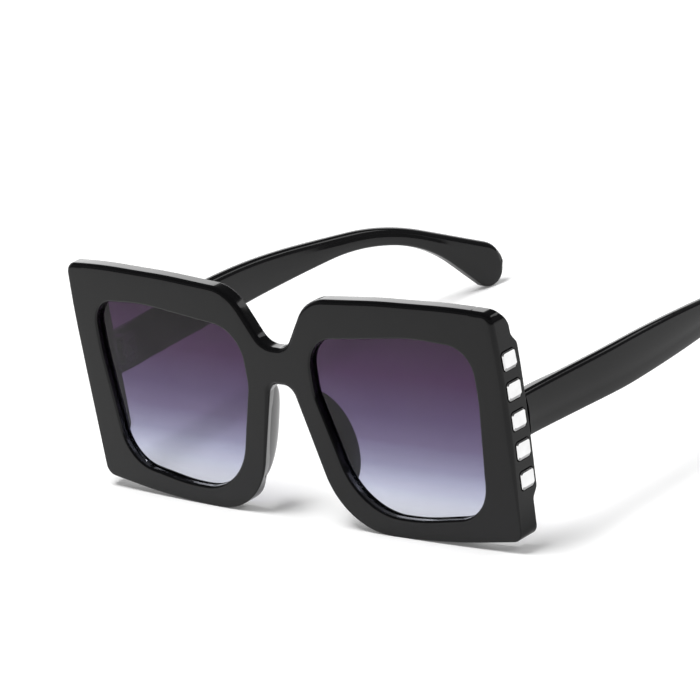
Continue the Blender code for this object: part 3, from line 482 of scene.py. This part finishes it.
def cut(piece, cutter_meshes):
    """Takes cutters away from a piece and keeps the result as its mesh."""
    cutters = []
    for mesh in cutter_meshes:
        cutter = new_piece("cutter", mesh)
        cutters.append(cutter)
        modifier = piece.modifiers.new("cut", "BOOLEAN")
        modifier.operation = "DIFFERENCE"
        modifier.solver = "EXACT"
        modifier.object = cutter
    bpy.context.view_layer.update()
    graph = bpy.context.evaluated_depsgraph_get()
    result = bpy.data.meshes.new_from_object(piece.evaluated_get(graph))
    result.name = piece.name
    piece.modifiers.clear()
    piece.data = result
    for cutter in cutters:
        bpy.data.objects.remove(cutter, do_unlink=True)


def stand(piece):
    """Leans a piece drawn in the front's frame back to where it rests."""
    piece.data.transform(resting)
    for vert in piece.data.vertices:
        vert.co.z = max(vert.co.z, 0.0)


def polished(piece, angle=math.radians(35)):
    """Smooth shading that keeps flats flat and true corners sharp."""
    piece.data.shade_smooth()
    piece.data.set_sharp_from_angle(angle=angle)
    weigh = piece.modifiers.new("even_shading", "WEIGHTED_NORMAL")
    weigh.keep_sharp = True


# The sockets for the crystals and the recesses for the hinge leaves are milled
# into the outer ends after the edges are tumbled.
STONE_COUNT = 5
STONE_SIZE = 0.0047
STONE_PITCH = 0.00775
STONE_LEVEL = 0.0340
STONE_CORNER = 0.0008
STONE_DEPTH_SHARE = 0.52
COLUMN_HEIGHT, COLUMN_LEAN = 0.0357, 0.0009
SOCKET_GAP = 0.00018
SOCKET_DEPTH = 0.00145
SOCKET_LIP = ((0, -0.00016), (0.00014, -0.00002), (0.00034, 0.0006))


def side_place(z):
    """Where the outer edge stands at a height, and how it slants there."""
    for (x_high, z_high, _), (x_low, z_low, _) in zip(OUTER_EDGE, OUTER_EDGE[1:]):
        if z >= z_low * FRONT_HEIGHT:
            slant = (x_high - x_low) * FRONT_HALF_WIDTH / ((z_high - z_low) * FRONT_HEIGHT)
            x = x_low * FRONT_HALF_WIDTH + (z - z_low * FRONT_HEIGHT) * slant
            return x, math.atan(slant)


def stone_place(i, side):
    """Placement of the stone number i, whose +X points out of the edge."""
    drop = (i - (STONE_COUNT - 1) / 2) * STONE_PITCH
    x, slant = side_place(STONE_LEVEL - drop)
    y = wrap(FRONT_HALF_WIDTH) + STONE_DEPTH_SHARE * LUG_DEPTH
    y += drop / COLUMN_HEIGHT * COLUMN_LEAN
    spot = Matrix.Translation((side * x, y, STONE_LEVEL - drop))
    lean_out = Matrix.Rotation(side * slant, 4, "Y")
    return spot @ lean_out @ Matrix.Rotation(0 if side > 0 else math.pi, 4, "Z")


def square_line(reach, radius):
    """A square with rounded corners, as a closed line in Y and Z."""
    return rounded([(-reach, -reach, radius), (reach, -reach, radius),
                    (reach, reach, radius), (-reach, reach, radius)])


def stack_mesh(name, levels):
    """A closed solid of equal rings (line, out) from its bottom to its top."""
    work = bmesh.new()
    rings = [[work.verts.new((out, point.x, point.y)) for point in line]
             for line, out in levels]
    for first, second in zip(rings, rings[1:]):
        for i in range(len(first)):
            work.faces.new((first[i - 1], first[i], second[i], second[i - 1]))
    work.faces.new(rings[0])
    work.faces.new(rings[-1])
    return finished(work, name)


def socket_mesh():
    """Cutter for one socket, opening a little at the edge's surface."""
    reach = STONE_SIZE / 2 + SOCKET_GAP
    corner = STONE_CORNER + SOCKET_GAP
    line = square_line(reach, corner)
    lip = [(offset(line, wider), out) for wider, out in SOCKET_LIP]
    return stack_mesh("cutter", [(line, -SOCKET_DEPTH), *lip])


cutters = []
for side in (1, -1):
    for i in range(STONE_COUNT):
        socket = socket_mesh()
        socket.transform(stone_place(i, side))
        cutters.append(socket)
LEAF_SPAN = (0.06635, 0.06975)
LEAF_BOTTOM, LEAF_TOP = 0.0304, 0.0386
LEAF_THICKNESS, LEAF_LENGTH = 0.0008, 0.00825
LUG_BACK = LUG_DEPTH + wrap(HINGE_X)
RECESS_GAP = 0.00015
CUT_BEYOND = 0.001
for side in (1, -1):
    low, high = sorted((side * (LEAF_SPAN[0] - RECESS_GAP), side * (LEAF_SPAN[1] + RECESS_GAP)))
    floor = LUG_BACK - LEAF_THICKNESS - RECESS_GAP
    cutters.append(box_mesh((low, floor, LEAF_BOTTOM - RECESS_GAP),
                            (high, LUG_BACK + CUT_BEYOND, LEAF_TOP + RECESS_GAP)))
front = new_piece("front_shell", front_mesh())
cut(front, cutters)
stand(front)
polished(front)


# Gloss black is the same dyed plastic everywhere, a little glossier on the temples.
# How freshly it is buffed and how much it is handled differ as well.

def handling_group():
    """Polishing unevenness, faint rub marks and specks of dust for any surface."""
    group = bpy.data.node_groups.new("handling", "ShaderNodeTree")
    for name, kind, start in (("Coordinates", "NodeSocketVector", None),
                              ("Roughness", "NodeSocketFloat", 0.1),
                              ("Rub", "NodeSocketFloat", 0.05),
                              ("Rub Size", "NodeSocketFloat", 90.0),
                              ("Dust", "NodeSocketFloat", 0.2)):
        socket = group.interface.new_socket(name, in_out="INPUT", socket_type=kind)
        if start is not None:
            socket.default_value = start
    for name in ("Roughness", "Dust", "Height"):
        group.interface.new_socket(name, in_out="OUTPUT", socket_type="NodeSocketFloat")
    given = group.nodes.new("NodeGroupInput")
    given.location = (-1000, 0)
    result = group.nodes.new("NodeGroupOutput")
    result.location = (600, 0)
    links = group.links

    rub = node(group, "ShaderNodeTexNoise", (-700, 250), Detail=5.0, Roughness=0.62,
               Distortion=0.6)
    links.new(given.outputs["Coordinates"], rub.inputs["Vector"])
    links.new(given.outputs["Rub Size"], rub.inputs["Scale"])
    centred = node(group, "ShaderNodeMapRange", (-450, 250), From_Min=0.35, From_Max=0.75)
    links.new(rub.outputs["Fac"], centred.inputs["Value"])
    amount = node(group, "ShaderNodeMath", (-200, 250))
    amount.operation = "MULTIPLY_ADD"
    links.new(centred.outputs["Result"], amount.inputs[0])
    links.new(given.outputs["Rub"], amount.inputs[1])
    links.new(given.outputs["Roughness"], amount.inputs[2])

    grains = node(group, "ShaderNodeTexVoronoi", (-700, -50), Scale=850.0)
    links.new(given.outputs["Coordinates"], grains.inputs["Vector"])
    where = node(group, "ShaderNodeTexNoise", (-700, -350), Scale=45.0, Detail=3.0)
    links.new(given.outputs["Coordinates"], where.inputs["Vector"])
    rare = node(group, "ShaderNodeMapRange", (-450, -350), From_Min=0.62, From_Max=0.82,
                To_Min=0.0, To_Max=0.13)
    links.new(where.outputs["Fac"], rare.inputs["Value"])
    speck = node(group, "ShaderNodeMath", (-200, -50))
    speck.operation = "LESS_THAN"
    links.new(grains.outputs["Distance"], speck.inputs[0])
    links.new(rare.outputs["Result"], speck.inputs[1])
    dust = node(group, "ShaderNodeMath", (0, -50))
    dust.operation = "MULTIPLY"
    links.new(speck.outputs[0], dust.inputs[0])
    links.new(given.outputs["Dust"], dust.inputs[1])
    rough = node(group, "ShaderNodeMath", (200, 150))
    rough.operation = "ADD"
    rough.use_clamp = True
    links.new(amount.outputs[0], rough.inputs[0])
    links.new(dust.outputs[0], rough.inputs[1])

    waves = node(group, "ShaderNodeTexNoise", (-700, -650), Scale=28.0, Detail=1.0)
    links.new(given.outputs["Coordinates"], waves.inputs["Vector"])
    links.new(rough.outputs[0], result.inputs["Roughness"])
    links.new(dust.outputs[0], result.inputs["Dust"])
    links.new(waves.outputs["Fac"], result.inputs["Height"])
    return group


handling = handling_group()


def handled(tree, roughness, rub, rub_size, dust):
    """The handling group in a material, on the piece's own coordinates."""
    where = node(tree, "ShaderNodeTexCoord", (-1100, 0))
    marks = tree.nodes.new("ShaderNodeGroup")
    marks.location = (-850, 0)
    marks.node_tree = handling
    for name, value in (("Roughness", roughness), ("Rub", rub), ("Rub Size", rub_size),
                        ("Dust", dust)):
        marks.inputs[name].default_value = value
    tree.links.new(where.outputs["Object"], marks.inputs["Coordinates"])
    return where, marks


def gloss_black(name, roughness, rub, unevenness, ior=1.345):
    """Dyed black plastic: nearly no colour of its own, all gloss."""
    material = bpy.data.materials.new(name)
    material.use_nodes = True
    tree = material.node_tree
    shader = tree.nodes["Principled BSDF"]
    _, marks = handled(tree, roughness, rub, 60.0, 0.5)
    tone = node(tree, "ShaderNodeMix", (-450, 250))
    tone.data_type = "RGBA"
    tone.inputs["A"].default_value = (0.0030, 0.0030, 0.0034, 1)
    tone.inputs["B"].default_value = (0.10, 0.10, 0.10, 1)
    tree.links.new(marks.outputs["Dust"], tone.inputs["Factor"])
    tree.links.new(tone.outputs["Result"], shader.inputs["Base Color"])
    tree.links.new(marks.outputs["Roughness"], shader.inputs["Roughness"])
    shader.inputs["IOR"].default_value = ior
    relief = node(tree, "ShaderNodeBump", (-300, -300), Strength=1.0, Distance=unevenness)
    tree.links.new(marks.outputs["Height"], relief.inputs["Height"])
    tree.links.new(relief.outputs["Normal"], shader.inputs["Normal"])
    return material


front.data.materials.clear()
front.data.materials.append(gloss_black("front_black", 0.07, 0.05, 0.00003))
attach(front, "front")
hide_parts("front_frame")


# Lenses
# Each lens is one gently domed sheet of tinted plastic, snapped into the groove
# of its rim.  The tint is dipped: near black plum above, smoke blue below.

LENS_THICKNESS = 0.0013
LENS_DOME_RADIUS = 0.50
LENS_GAP = 0.0002
LENS_RINGS = 14
TINT_BOTTOM, TINT_TOP = 0.0050, 0.0535


def lens_mesh(side):
    """A lens in its groove, ringed towards its middle so that it domes evenly."""
    edge = offset(opening_line(), GROOVE_DEPTH - LENS_GAP)
    if side < 0:
        edge = mirrored(edge)
    middle = Vector((side * LENS_MIDDLE.x, LENS_MIDDLE.y))
    work = bmesh.new()

    def sheet(y):
        """One side of the lens at a depth; gives its outermost ring."""
        grid = []
        for k in range(LENS_RINGS):
            share = 1 - k / LENS_RINGS
            grid.append([])
            for point in edge:
                spot = middle + (point - middle) * share
                dome = ((point - middle).length_squared - (spot - middle).length_squared)
                deep = y + wrap(spot.x) - dome / (2 * LENS_DOME_RADIUS) * share
                grid[-1].append(work.verts.new((spot.x, deep, spot.y)))
        for first, second in zip(grid, grid[1:]):
            for i in range(len(edge)):
                work.faces.new((first[i - 1], first[i], second[i], second[i - 1]))
        work.faces.new(grid[-1])
        return grid[0]

    outer = sheet((GROOVE_FRONT + GROOVE_BACK - LENS_THICKNESS) / 2)
    inner = sheet((GROOVE_FRONT + GROOVE_BACK + LENS_THICKNESS) / 2)
    for i in range(len(edge)):
        work.faces.new((outer[i - 1], outer[i], inner[i], inner[i - 1]))
    return finished(work, "lens")


def gradient_tint():
    """Tint by height on the lens; lamps pass it with the same colour."""
    material = bpy.data.materials.new("gradient_tint")
    material.use_nodes = True
    tree = material.node_tree
    shader = tree.nodes["Principled BSDF"]
    where, marks = handled(tree, 0.0, 0.02, 120.0, 0.3)
    parts = node(tree, "ShaderNodeSeparateXYZ", (-850, 350))
    tree.links.new(where.outputs["Object"], parts.inputs[0])
    level = node(tree, "ShaderNodeMapRange", (-650, 350), From_Min=TINT_BOTTOM,
                 From_Max=TINT_TOP)
    tree.links.new(parts.outputs["Z"], level.inputs["Value"])
    ramp = node(tree, "ShaderNodeValToRGB", (-450, 350))
    tints = ((0.0, (0.72, 0.74, 0.80)), (0.16, (0.40, 0.415, 0.53)),
             (0.28, (0.215, 0.21, 0.315)), (0.41, (0.122, 0.10, 0.18)),
             (0.55, (0.076, 0.054, 0.115)), (0.77, (0.045, 0.020, 0.057)),
             (1.0, (0.028, 0.013, 0.032)))
    stops = ramp.color_ramp.elements
    while len(stops) < len(tints):
        stops.new(0.5)
    for stop, (height, colour) in zip(stops, tints):
        stop.position = height
    for stop, (height, colour) in zip(stops, tints):
        stop.color = (*colour, 1)
    tree.links.new(level.outputs["Result"], ramp.inputs["Fac"])
    tree.links.new(ramp.outputs["Color"], shader.inputs["Base Color"])
    tree.links.new(marks.outputs["Roughness"], shader.inputs["Roughness"])
    shader.inputs["IOR"].default_value = 1.30
    shader.inputs["Transmission Weight"].default_value = 1.0
    passed = node(tree, "ShaderNodeBsdfTransparent", (0, -400))
    tree.links.new(ramp.outputs["Color"], passed.inputs["Color"])
    path = node(tree, "ShaderNodeLightPath", (0, 400))
    either = node(tree, "ShaderNodeMixShader", (300, 100))
    tree.links.new(path.outputs["Is Shadow Ray"], either.inputs["Fac"])
    tree.links.new(shader.outputs["BSDF"], either.inputs[1])
    tree.links.new(passed.outputs["BSDF"], either.inputs[2])
    tree.links.new(either.outputs["Shader"], tree.nodes["Material Output"].inputs["Surface"])
    return material


tint = gradient_tint()
for name, side in (("left", 1), ("right", -1)):
    glass = new_piece(name + "_lens_sheet", lens_mesh(side))
    stand(glass)
    polished(glass)
    glass.data.materials.append(tint)
    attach(glass, "front")
    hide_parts(name + "_lens")


# Crystals
# Square stones of clear glass, silvered behind and glued into their sockets.
# Each has a flat table and a cut crown, broader along the bottom, where shade is painted on its
# facets.

STONE_PROUD = 0.0005
STONE_FOOT, STONE_FOOT_TAPER = -0.00115, 0.0004
GIRDLE_LOW, GIRDLE_HIGH = -0.0006, 0.0001
STONE_BEVEL = 0.00026
LOWER_CUT = 0.0006
# Facets whose normal points lower than this get painted shade.
PAINTED_SHADE_NORMAL_Z = -0.25
STONE_TILT = 0.8


def stone_mesh():
    """One stone from its foot up to its table."""
    girdle = square_line(STONE_SIZE / 2, STONE_CORNER)
    foot = offset(girdle, -STONE_FOOT_TAPER)
    table = offset(girdle, -STONE_BEVEL)
    for point in table:
        point.y += LOWER_CUT * max(0.0, -2 * point.y / STONE_SIZE)
    mesh = stack_mesh("stone", [(foot, STONE_FOOT), (girdle, GIRDLE_LOW),
                                (girdle, GIRDLE_HIGH), (table, STONE_PROUD)])
    for face in mesh.polygons:
        # Downward facets of the lower cut take the darker second material: painted shade.
        face.material_index = int(face.center.x > 0 and face.normal.z < PAINTED_SHADE_NORMAL_Z)
    return mesh


def silvered_glass(name, darkest, lightest):
    """Silver seen through a thin coat of clear glass."""
    material = bpy.data.materials.new(name)
    material.use_nodes = True
    tree = material.node_tree
    shader = tree.nodes["Principled BSDF"]
    where, marks = handled(tree, 0.05, 0.10, 500.0, 0.2)
    cloud = node(tree, "ShaderNodeTexNoise", (-650, 350), Scale=420.0, Detail=2.0)
    tree.links.new(where.outputs["Object"], cloud.inputs["Vector"])
    tone = node(tree, "ShaderNodeMix", (-400, 300))
    tone.data_type = "RGBA"
    tone.inputs["A"].default_value = (darkest, darkest, darkest, 1)
    tone.inputs["B"].default_value = (lightest, lightest, lightest, 1)
    tree.links.new(cloud.outputs["Fac"], tone.inputs["Factor"])
    tree.links.new(tone.outputs["Result"], shader.inputs["Base Color"])
    tree.links.new(marks.outputs["Roughness"], shader.inputs["Roughness"])
    shader.inputs["Metallic"].default_value = 1.0
    shader.inputs["Coat Weight"].default_value = 1.0
    shader.inputs["Coat IOR"].default_value = 1.55
    shader.inputs["Coat Roughness"].default_value = 0.02
    return material


stone = stone_mesh()
stone.materials.append(silvered_glass("silvered_table", 0.72, 0.90))
# A darker copy of the silver for the lower cut's facets: painted shade, not a colour of the
# stone.
stone.materials.append(silvered_glass("silvered_lower_cut_painted_shade", 0.03, 0.60))
for name, side in (("left", 1), ("right", -1)):
    for i in range(STONE_COUNT):
        degrees = STONE_TILT * math.sin(5.0 * i + side)
        tilt = Matrix.Rotation(math.radians(degrees), 4, "Z")
        gem = new_piece(f"{name}_stone_{i + 1}", stone.copy())
        gem.data.transform(resting @ stone_place(i, side) @ tilt)
        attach(gem, "front")
        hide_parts(f"{name}_crystal_{i + 1}")


# Nose pads
# Solid pads of the same black plastic, glued behind the rims beside the nose and
# blended into them; they flare out towards the face.

PAD_HEIGHT, PAD_DEPTH, PAD_THICKNESS = 0.0265, 0.0078, 0.0036
PAD_ROOT, PAD_SINK = 0.0026, 0.00025
PAD_MIDDLE = 0.02240
PAD_FLARE = 0.0024
PAD_SKIRT = 0.0004
FULLNESS_ABOVE, FULLNESS_BELOW = 0.2, 0.38


def pad_mesh(side):
    """Half an ellipsoid, fuller towards the nose, with a skirt on its other side."""
    lean_in = (rim_inside(0) - rim_inside(PAD_HEIGHT)) / PAD_HEIGHT
    inner = rim_inside(PAD_MIDDLE) + NOSE_SLOPE * PAD_ROOT + PAD_THICKNESS / 2 - PAD_SINK
    base = PAD_ROOT + wrap(inner + PAD_THICKNESS / 2)
    around, rows = 56, 16
    work = bmesh.new()
    rings = []
    for k in range(rows):
        angle = math.pi / 2 * k / rows
        deep = PAD_DEPTH * math.sin(angle)
        skirt = PAD_SKIRT * max(0.0, 1 - deep / (3 * PAD_SKIRT)) ** 2
        ring = []
        for i in range(around):
            turn = 2 * math.pi * i / around
            out = math.cos(turn)
            if out < 0:
                fullness = FULLNESS_ABOVE if math.sin(turn) > 0 else FULLNESS_BELOW
                x = -PAD_THICKNESS / 2 * math.cos(angle) * abs(out) ** fullness
            else:
                x = (PAD_THICKNESS / 2 * math.cos(angle) + skirt) * out
            z = (PAD_HEIGHT / 2 * math.cos(angle) + skirt) * math.sin(turn)
            x += PAD_FLARE * deep / PAD_DEPTH - z * lean_in
            ring.append(work.verts.new((side * (inner + x), base + deep, PAD_MIDDLE + z)))
        rings.append(ring)
    for first, second in zip(rings, rings[1:]):
        for i in range(around):
            work.faces.new((first[i - 1], first[i], second[i], second[i - 1]))
    work.faces.new(rings[0])
    work.faces.new(rings[-1])
    return finished(work, "nose_pad")


pad_black = gloss_black("pad_black", 0.10, 0.08, 0.00002)
for name, side in (("left", 1), ("right", -1)):
    pad = new_piece(name + "_pad", pad_mesh(side))
    stand(pad)
    polished(pad)
    pad.data.materials.append(pad_black)
    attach(pad, "front")
    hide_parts(name + "_nose_pad")


# Temples
# Each temple is milled from black plastic with a steel wire shot into it, tall and
# flat at the hinge.  It ends in a rounded paddle that drops behind the ear and bows
# in to the head.

TEMPLE_LENGTH, TEMPLE_DROP = 0.1456, 0.0350
TEMPLE_TOP, TEMPLE_BOTTOM = 0.03955, 0.02835
BUTT_GAP = 0.0003
BUTT = LUG_DEPTH + wrap(FRONT_HALF_WIDTH) + BUTT_GAP
TEMPLE_MIDDLE_X, TEMPLE_INSIDE = 0.0705, 0.0685
HINGE_THICKNESS, WAIST_THINNER, TIP_THICKER = 0.0040, 0.0009, 0.0006
WAIST_SHARE, WIDENING_SHARE = 0.40, 0.70
SPLAY, SPLAY_EASE = math.radians(4.5), 0.008
BEND_START, TIP_BEND = 0.024, 0.0256
OUTSIDE_ROUND_TOP, OUTSIDE_ROUND_UNDER = 0.0014, 0.0007
INSIDE_ROUND_TOP, INSIDE_ROUND_UNDER = 0.0021, 0.0010
HINGE_ROUND_SHARE = 0.6
HINGE_ROUND_START, HINGE_ROUND_LENGTH = 0.006, 0.010
PILLOW = 5.0
TEMPLE_CROWN = 0.00030
STATION, SLOPE_SPAN = 0.0015, 0.0004
TIP_START, TIP_STATIONS, TIP_GAP = 0.123, 44, 0.00002
TIP_ROUND, TIP_THIN_SHARE, TIP_HALF = 0.0022, 0.25, 0.0002
CORNER_STEPS, CROWN_STEPS = 8, 6


def temple_line():
    """Side line of a temple, its length along x and its height along y."""
    shares = [(0.3827, -0.0257, 0.283), (0.7308, 0.155, 0.075), (1.0, 0.711, 0.008),
              (0.930, 1.0, 0.0040), (0.811, 0.4486, 0.052), (0.6655, 0.2486, 0.080)]
    line = [(0, TEMPLE_TOP, 0)]
    line += [(along * TEMPLE_LENGTH, TEMPLE_TOP - down * TEMPLE_DROP, radius)
             for along, down, radius in shares]
    line += [(0.2424 * TEMPLE_LENGTH, TEMPLE_BOTTOM - 0.0002, 0.140), (0, TEMPLE_BOTTOM, 0)]
    return rounded(line)


def temple_thickness(s):
    """Thickness at a distance from the hinge, least at the waist."""
    share = s / TEMPLE_LENGTH
    narrowing = min(1.0, share / WAIST_SHARE)
    widening = max(0.0, (share - WIDENING_SHARE) / (1 - WIDENING_SHARE))
    return HINGE_THICKNESS - WAIST_THINNER * narrowing + TIP_THICKER * widening


def temple_middle(s):
    """Sideways place of the middle: splayed a little, then bowed in to the head."""
    thinning = (HINGE_THICKNESS - temple_thickness(s)) / 2
    bent = max(0.0, (s - BEND_START) / (TEMPLE_LENGTH - BEND_START))
    splayed = s * s / (s + SPLAY_EASE) * math.tan(SPLAY)
    return splayed + thinning - TIP_BEND * bent * bent


def crossings(line, s):
    """Lowest and highest point of a side line at a distance along it."""
    heights = []
    for i, point in enumerate(line):
        before = line[i - 1]
        low, high = sorted((before.x, point.x))
        if low <= s <= high and high > low:
            share = (s - before.x) / (point.x - before.x)
            heights.append(before.y + share * (point.y - before.y))
    return min(heights), max(heights)


def temple_stations(end):
    """Places of the upright sections along a temple, closer together at its tip."""
    stations = [k * STATION for k in range(int(TIP_START / STATION))]
    last = stations[-1]
    stations += [last + (end - last) * math.sin(math.pi / 2 * k / TIP_STATIONS)
                 for k in range(1, TIP_STATIONS + 1)]
    stations[-1] = end - TIP_GAP
    return stations


def temple_corners(line, s, half, end):
    """The four rounded corners of a section, as (x, z) round its middle."""
    near = max(0.0, s - SLOPE_SPAN)
    far = min(end - TIP_GAP, s + SLOPE_SPAN)
    low, high = crossings(line, s)
    low_near, high_near = crossings(line, near)
    low_far, high_far = crossings(line, far)
    opened = HINGE_ROUND_SHARE
    opened += (1 - HINGE_ROUND_SHARE) * eased(s, HINGE_ROUND_START, HINGE_ROUND_LENGTH)
    ring = []
    for number, (x_sign, z_sign) in enumerate(((1, 1), (-1, 1), (-1, -1), (1, -1))):
        rise = high_far - high_near if z_sign > 0 else low_far - low_near
        slope = rise / (far - near)
        outer, inner = ((OUTSIDE_ROUND_TOP, INSIDE_ROUND_TOP) if z_sign > 0
                        else (OUTSIDE_ROUND_UNDER, INSIDE_ROUND_UNDER))
        across = outer if x_sign > 0 else inner * opened
        across *= min(1, 2 * half / (outer + inner))
        tall = across * math.sqrt(1 + slope * slope)
        if x_sign > 0 > z_sign:
            tall *= PILLOW
        tall = min(tall, (high - low) / 2)
        centre_x = x_sign * (half - across)
        centre_z = high - tall if z_sign > 0 else low + tall
        for k in range(CORNER_STEPS + 1):
            turn = math.pi / 2 * (number + k / CORNER_STEPS)
            ring.append((centre_x + across * math.cos(turn), centre_z + tall * math.sin(turn)))
    return ring


def crowned(ring, crown):
    """A section whose flat inside and outside swell a little."""
    spread = []
    for i, (x, z) in enumerate(ring):
        spread.append((x, z))
        after_z = ring[(i + 1) % len(ring)][1]
        corner, inside_corner = divmod(i + 1, CORNER_STEPS + 1)
        if inside_corner == 0 and corner in (2, 4):
            for k in range(1, CROWN_STEPS):
                share = k / CROWN_STEPS
                swell = crown * 4 * share * (1 - share)
                spread.append((x + math.copysign(swell, x), z + share * (after_z - z)))
    return spread


def temple_mesh(side):
    """A temple lofted through upright sections, rounded off at its tip."""
    line = temple_line()
    end = max(point.x for point in line)
    work = bmesh.new()
    rings = []
    for s in temple_stations(end):
        tip = math.sqrt(max(0.0, 1 - max(0.0, (s - end + TIP_ROUND) / TIP_ROUND) ** 2))
        thin = TIP_THIN_SHARE + (1 - TIP_THIN_SHARE) * tip
        half = max(temple_thickness(s) / 2 * thin, TIP_HALF)
        section = crowned(temple_corners(line, s, half, end), TEMPLE_CROWN * tip)
        middle = TEMPLE_MIDDLE_X + temple_middle(s)
        rings.append([work.verts.new((side * (middle + x), BUTT + s, z)) for x, z in section])
    for first, second in zip(rings, rings[1:]):
        for i in range(len(first)):
            work.faces.new((first[i - 1], first[i], second[i], second[i - 1]))
    work.faces.new(rings[0])
    work.faces.new(rings[-1])
    return finished(work, "temple")


temple_black = gloss_black("temple_black", 0.09, 0.08, 0.00006, ior=1.38)
for name, side in (("left", 1), ("right", -1)):
    arm = new_piece(name + "_temple_arm", temple_mesh(side))
    low, high = sorted((side * (TEMPLE_INSIDE - CUT_BEYOND),
                        side * (TEMPLE_INSIDE + LEAF_THICKNESS + RECESS_GAP)))
    cut(arm, [box_mesh((low, BUTT - CUT_BEYOND, LEAF_BOTTOM - RECESS_GAP),
                       (high, BUTT + LEAF_LENGTH + RECESS_GAP, LEAF_TOP + RECESS_GAP))])
    stand(arm)
    polished(arm)
    arm.data.materials.append(temple_black)
    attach(arm, name + "_temple")
    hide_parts(name + "_temple")


# Hinges and core wires
# Pressed, barrel-polished and black-plated steel: leaves with five knuckles, a
# slotted screw through them, and the wire that stiffens each temple.

def hinge_steel(name, roughness, grain_along):
    """Steel with fine parallel grain from the barrel and the press."""
    material = bpy.data.materials.new(name)
    material.use_nodes = True
    tree = material.node_tree
    shader = tree.nodes["Principled BSDF"]
    where, marks = handled(tree, roughness, 0.12, 300.0, 0.1)
    stretch = node(tree, "ShaderNodeMapping", (-850, -350))
    stretch.inputs["Scale"].default_value = grain_along
    tree.links.new(where.outputs["Object"], stretch.inputs["Vector"])
    grain = node(tree, "ShaderNodeTexNoise", (-650, -350), Scale=1.0, Detail=3.0)
    tree.links.new(stretch.outputs["Vector"], grain.inputs["Vector"])
    tone = node(tree, "ShaderNodeMix", (-400, 250))
    tone.data_type = "RGBA"
    tone.inputs["A"].default_value = (0.07, 0.07, 0.075, 1)
    tone.inputs["B"].default_value = (0.13, 0.13, 0.135, 1)
    tree.links.new(grain.outputs["Fac"], tone.inputs["Factor"])
    tree.links.new(tone.outputs["Result"], shader.inputs["Base Color"])
    tree.links.new(marks.outputs["Roughness"], shader.inputs["Roughness"])
    shader.inputs["Metallic"].default_value = 1.0
    relief = node(tree, "ShaderNodeBump", (-300, -300), Strength=0.4, Distance=0.00001)
    tree.links.new(grain.outputs["Fac"], relief.inputs["Height"])
    tree.links.new(relief.outputs["Normal"], shader.inputs["Normal"])
    return material


leaf_steel = hinge_steel("leaf_steel", 0.22, (900, 900, 6000))
screw_steel = hinge_steel("screw_steel", 0.16, (5000, 5000, 900))
wire_steel = hinge_steel("wire_steel", 0.30, (6000, 400, 6000))
for name in ("left", "right"):
    for part, steel in (("_front_leaf", leaf_steel), ("_temple_leaf", leaf_steel),
                        ("_hinge_screw", screw_steel), ("_core_wire", wire_steel)):
        for slot in frame["nodes"][name + part].material_slots:
            slot.material = steel
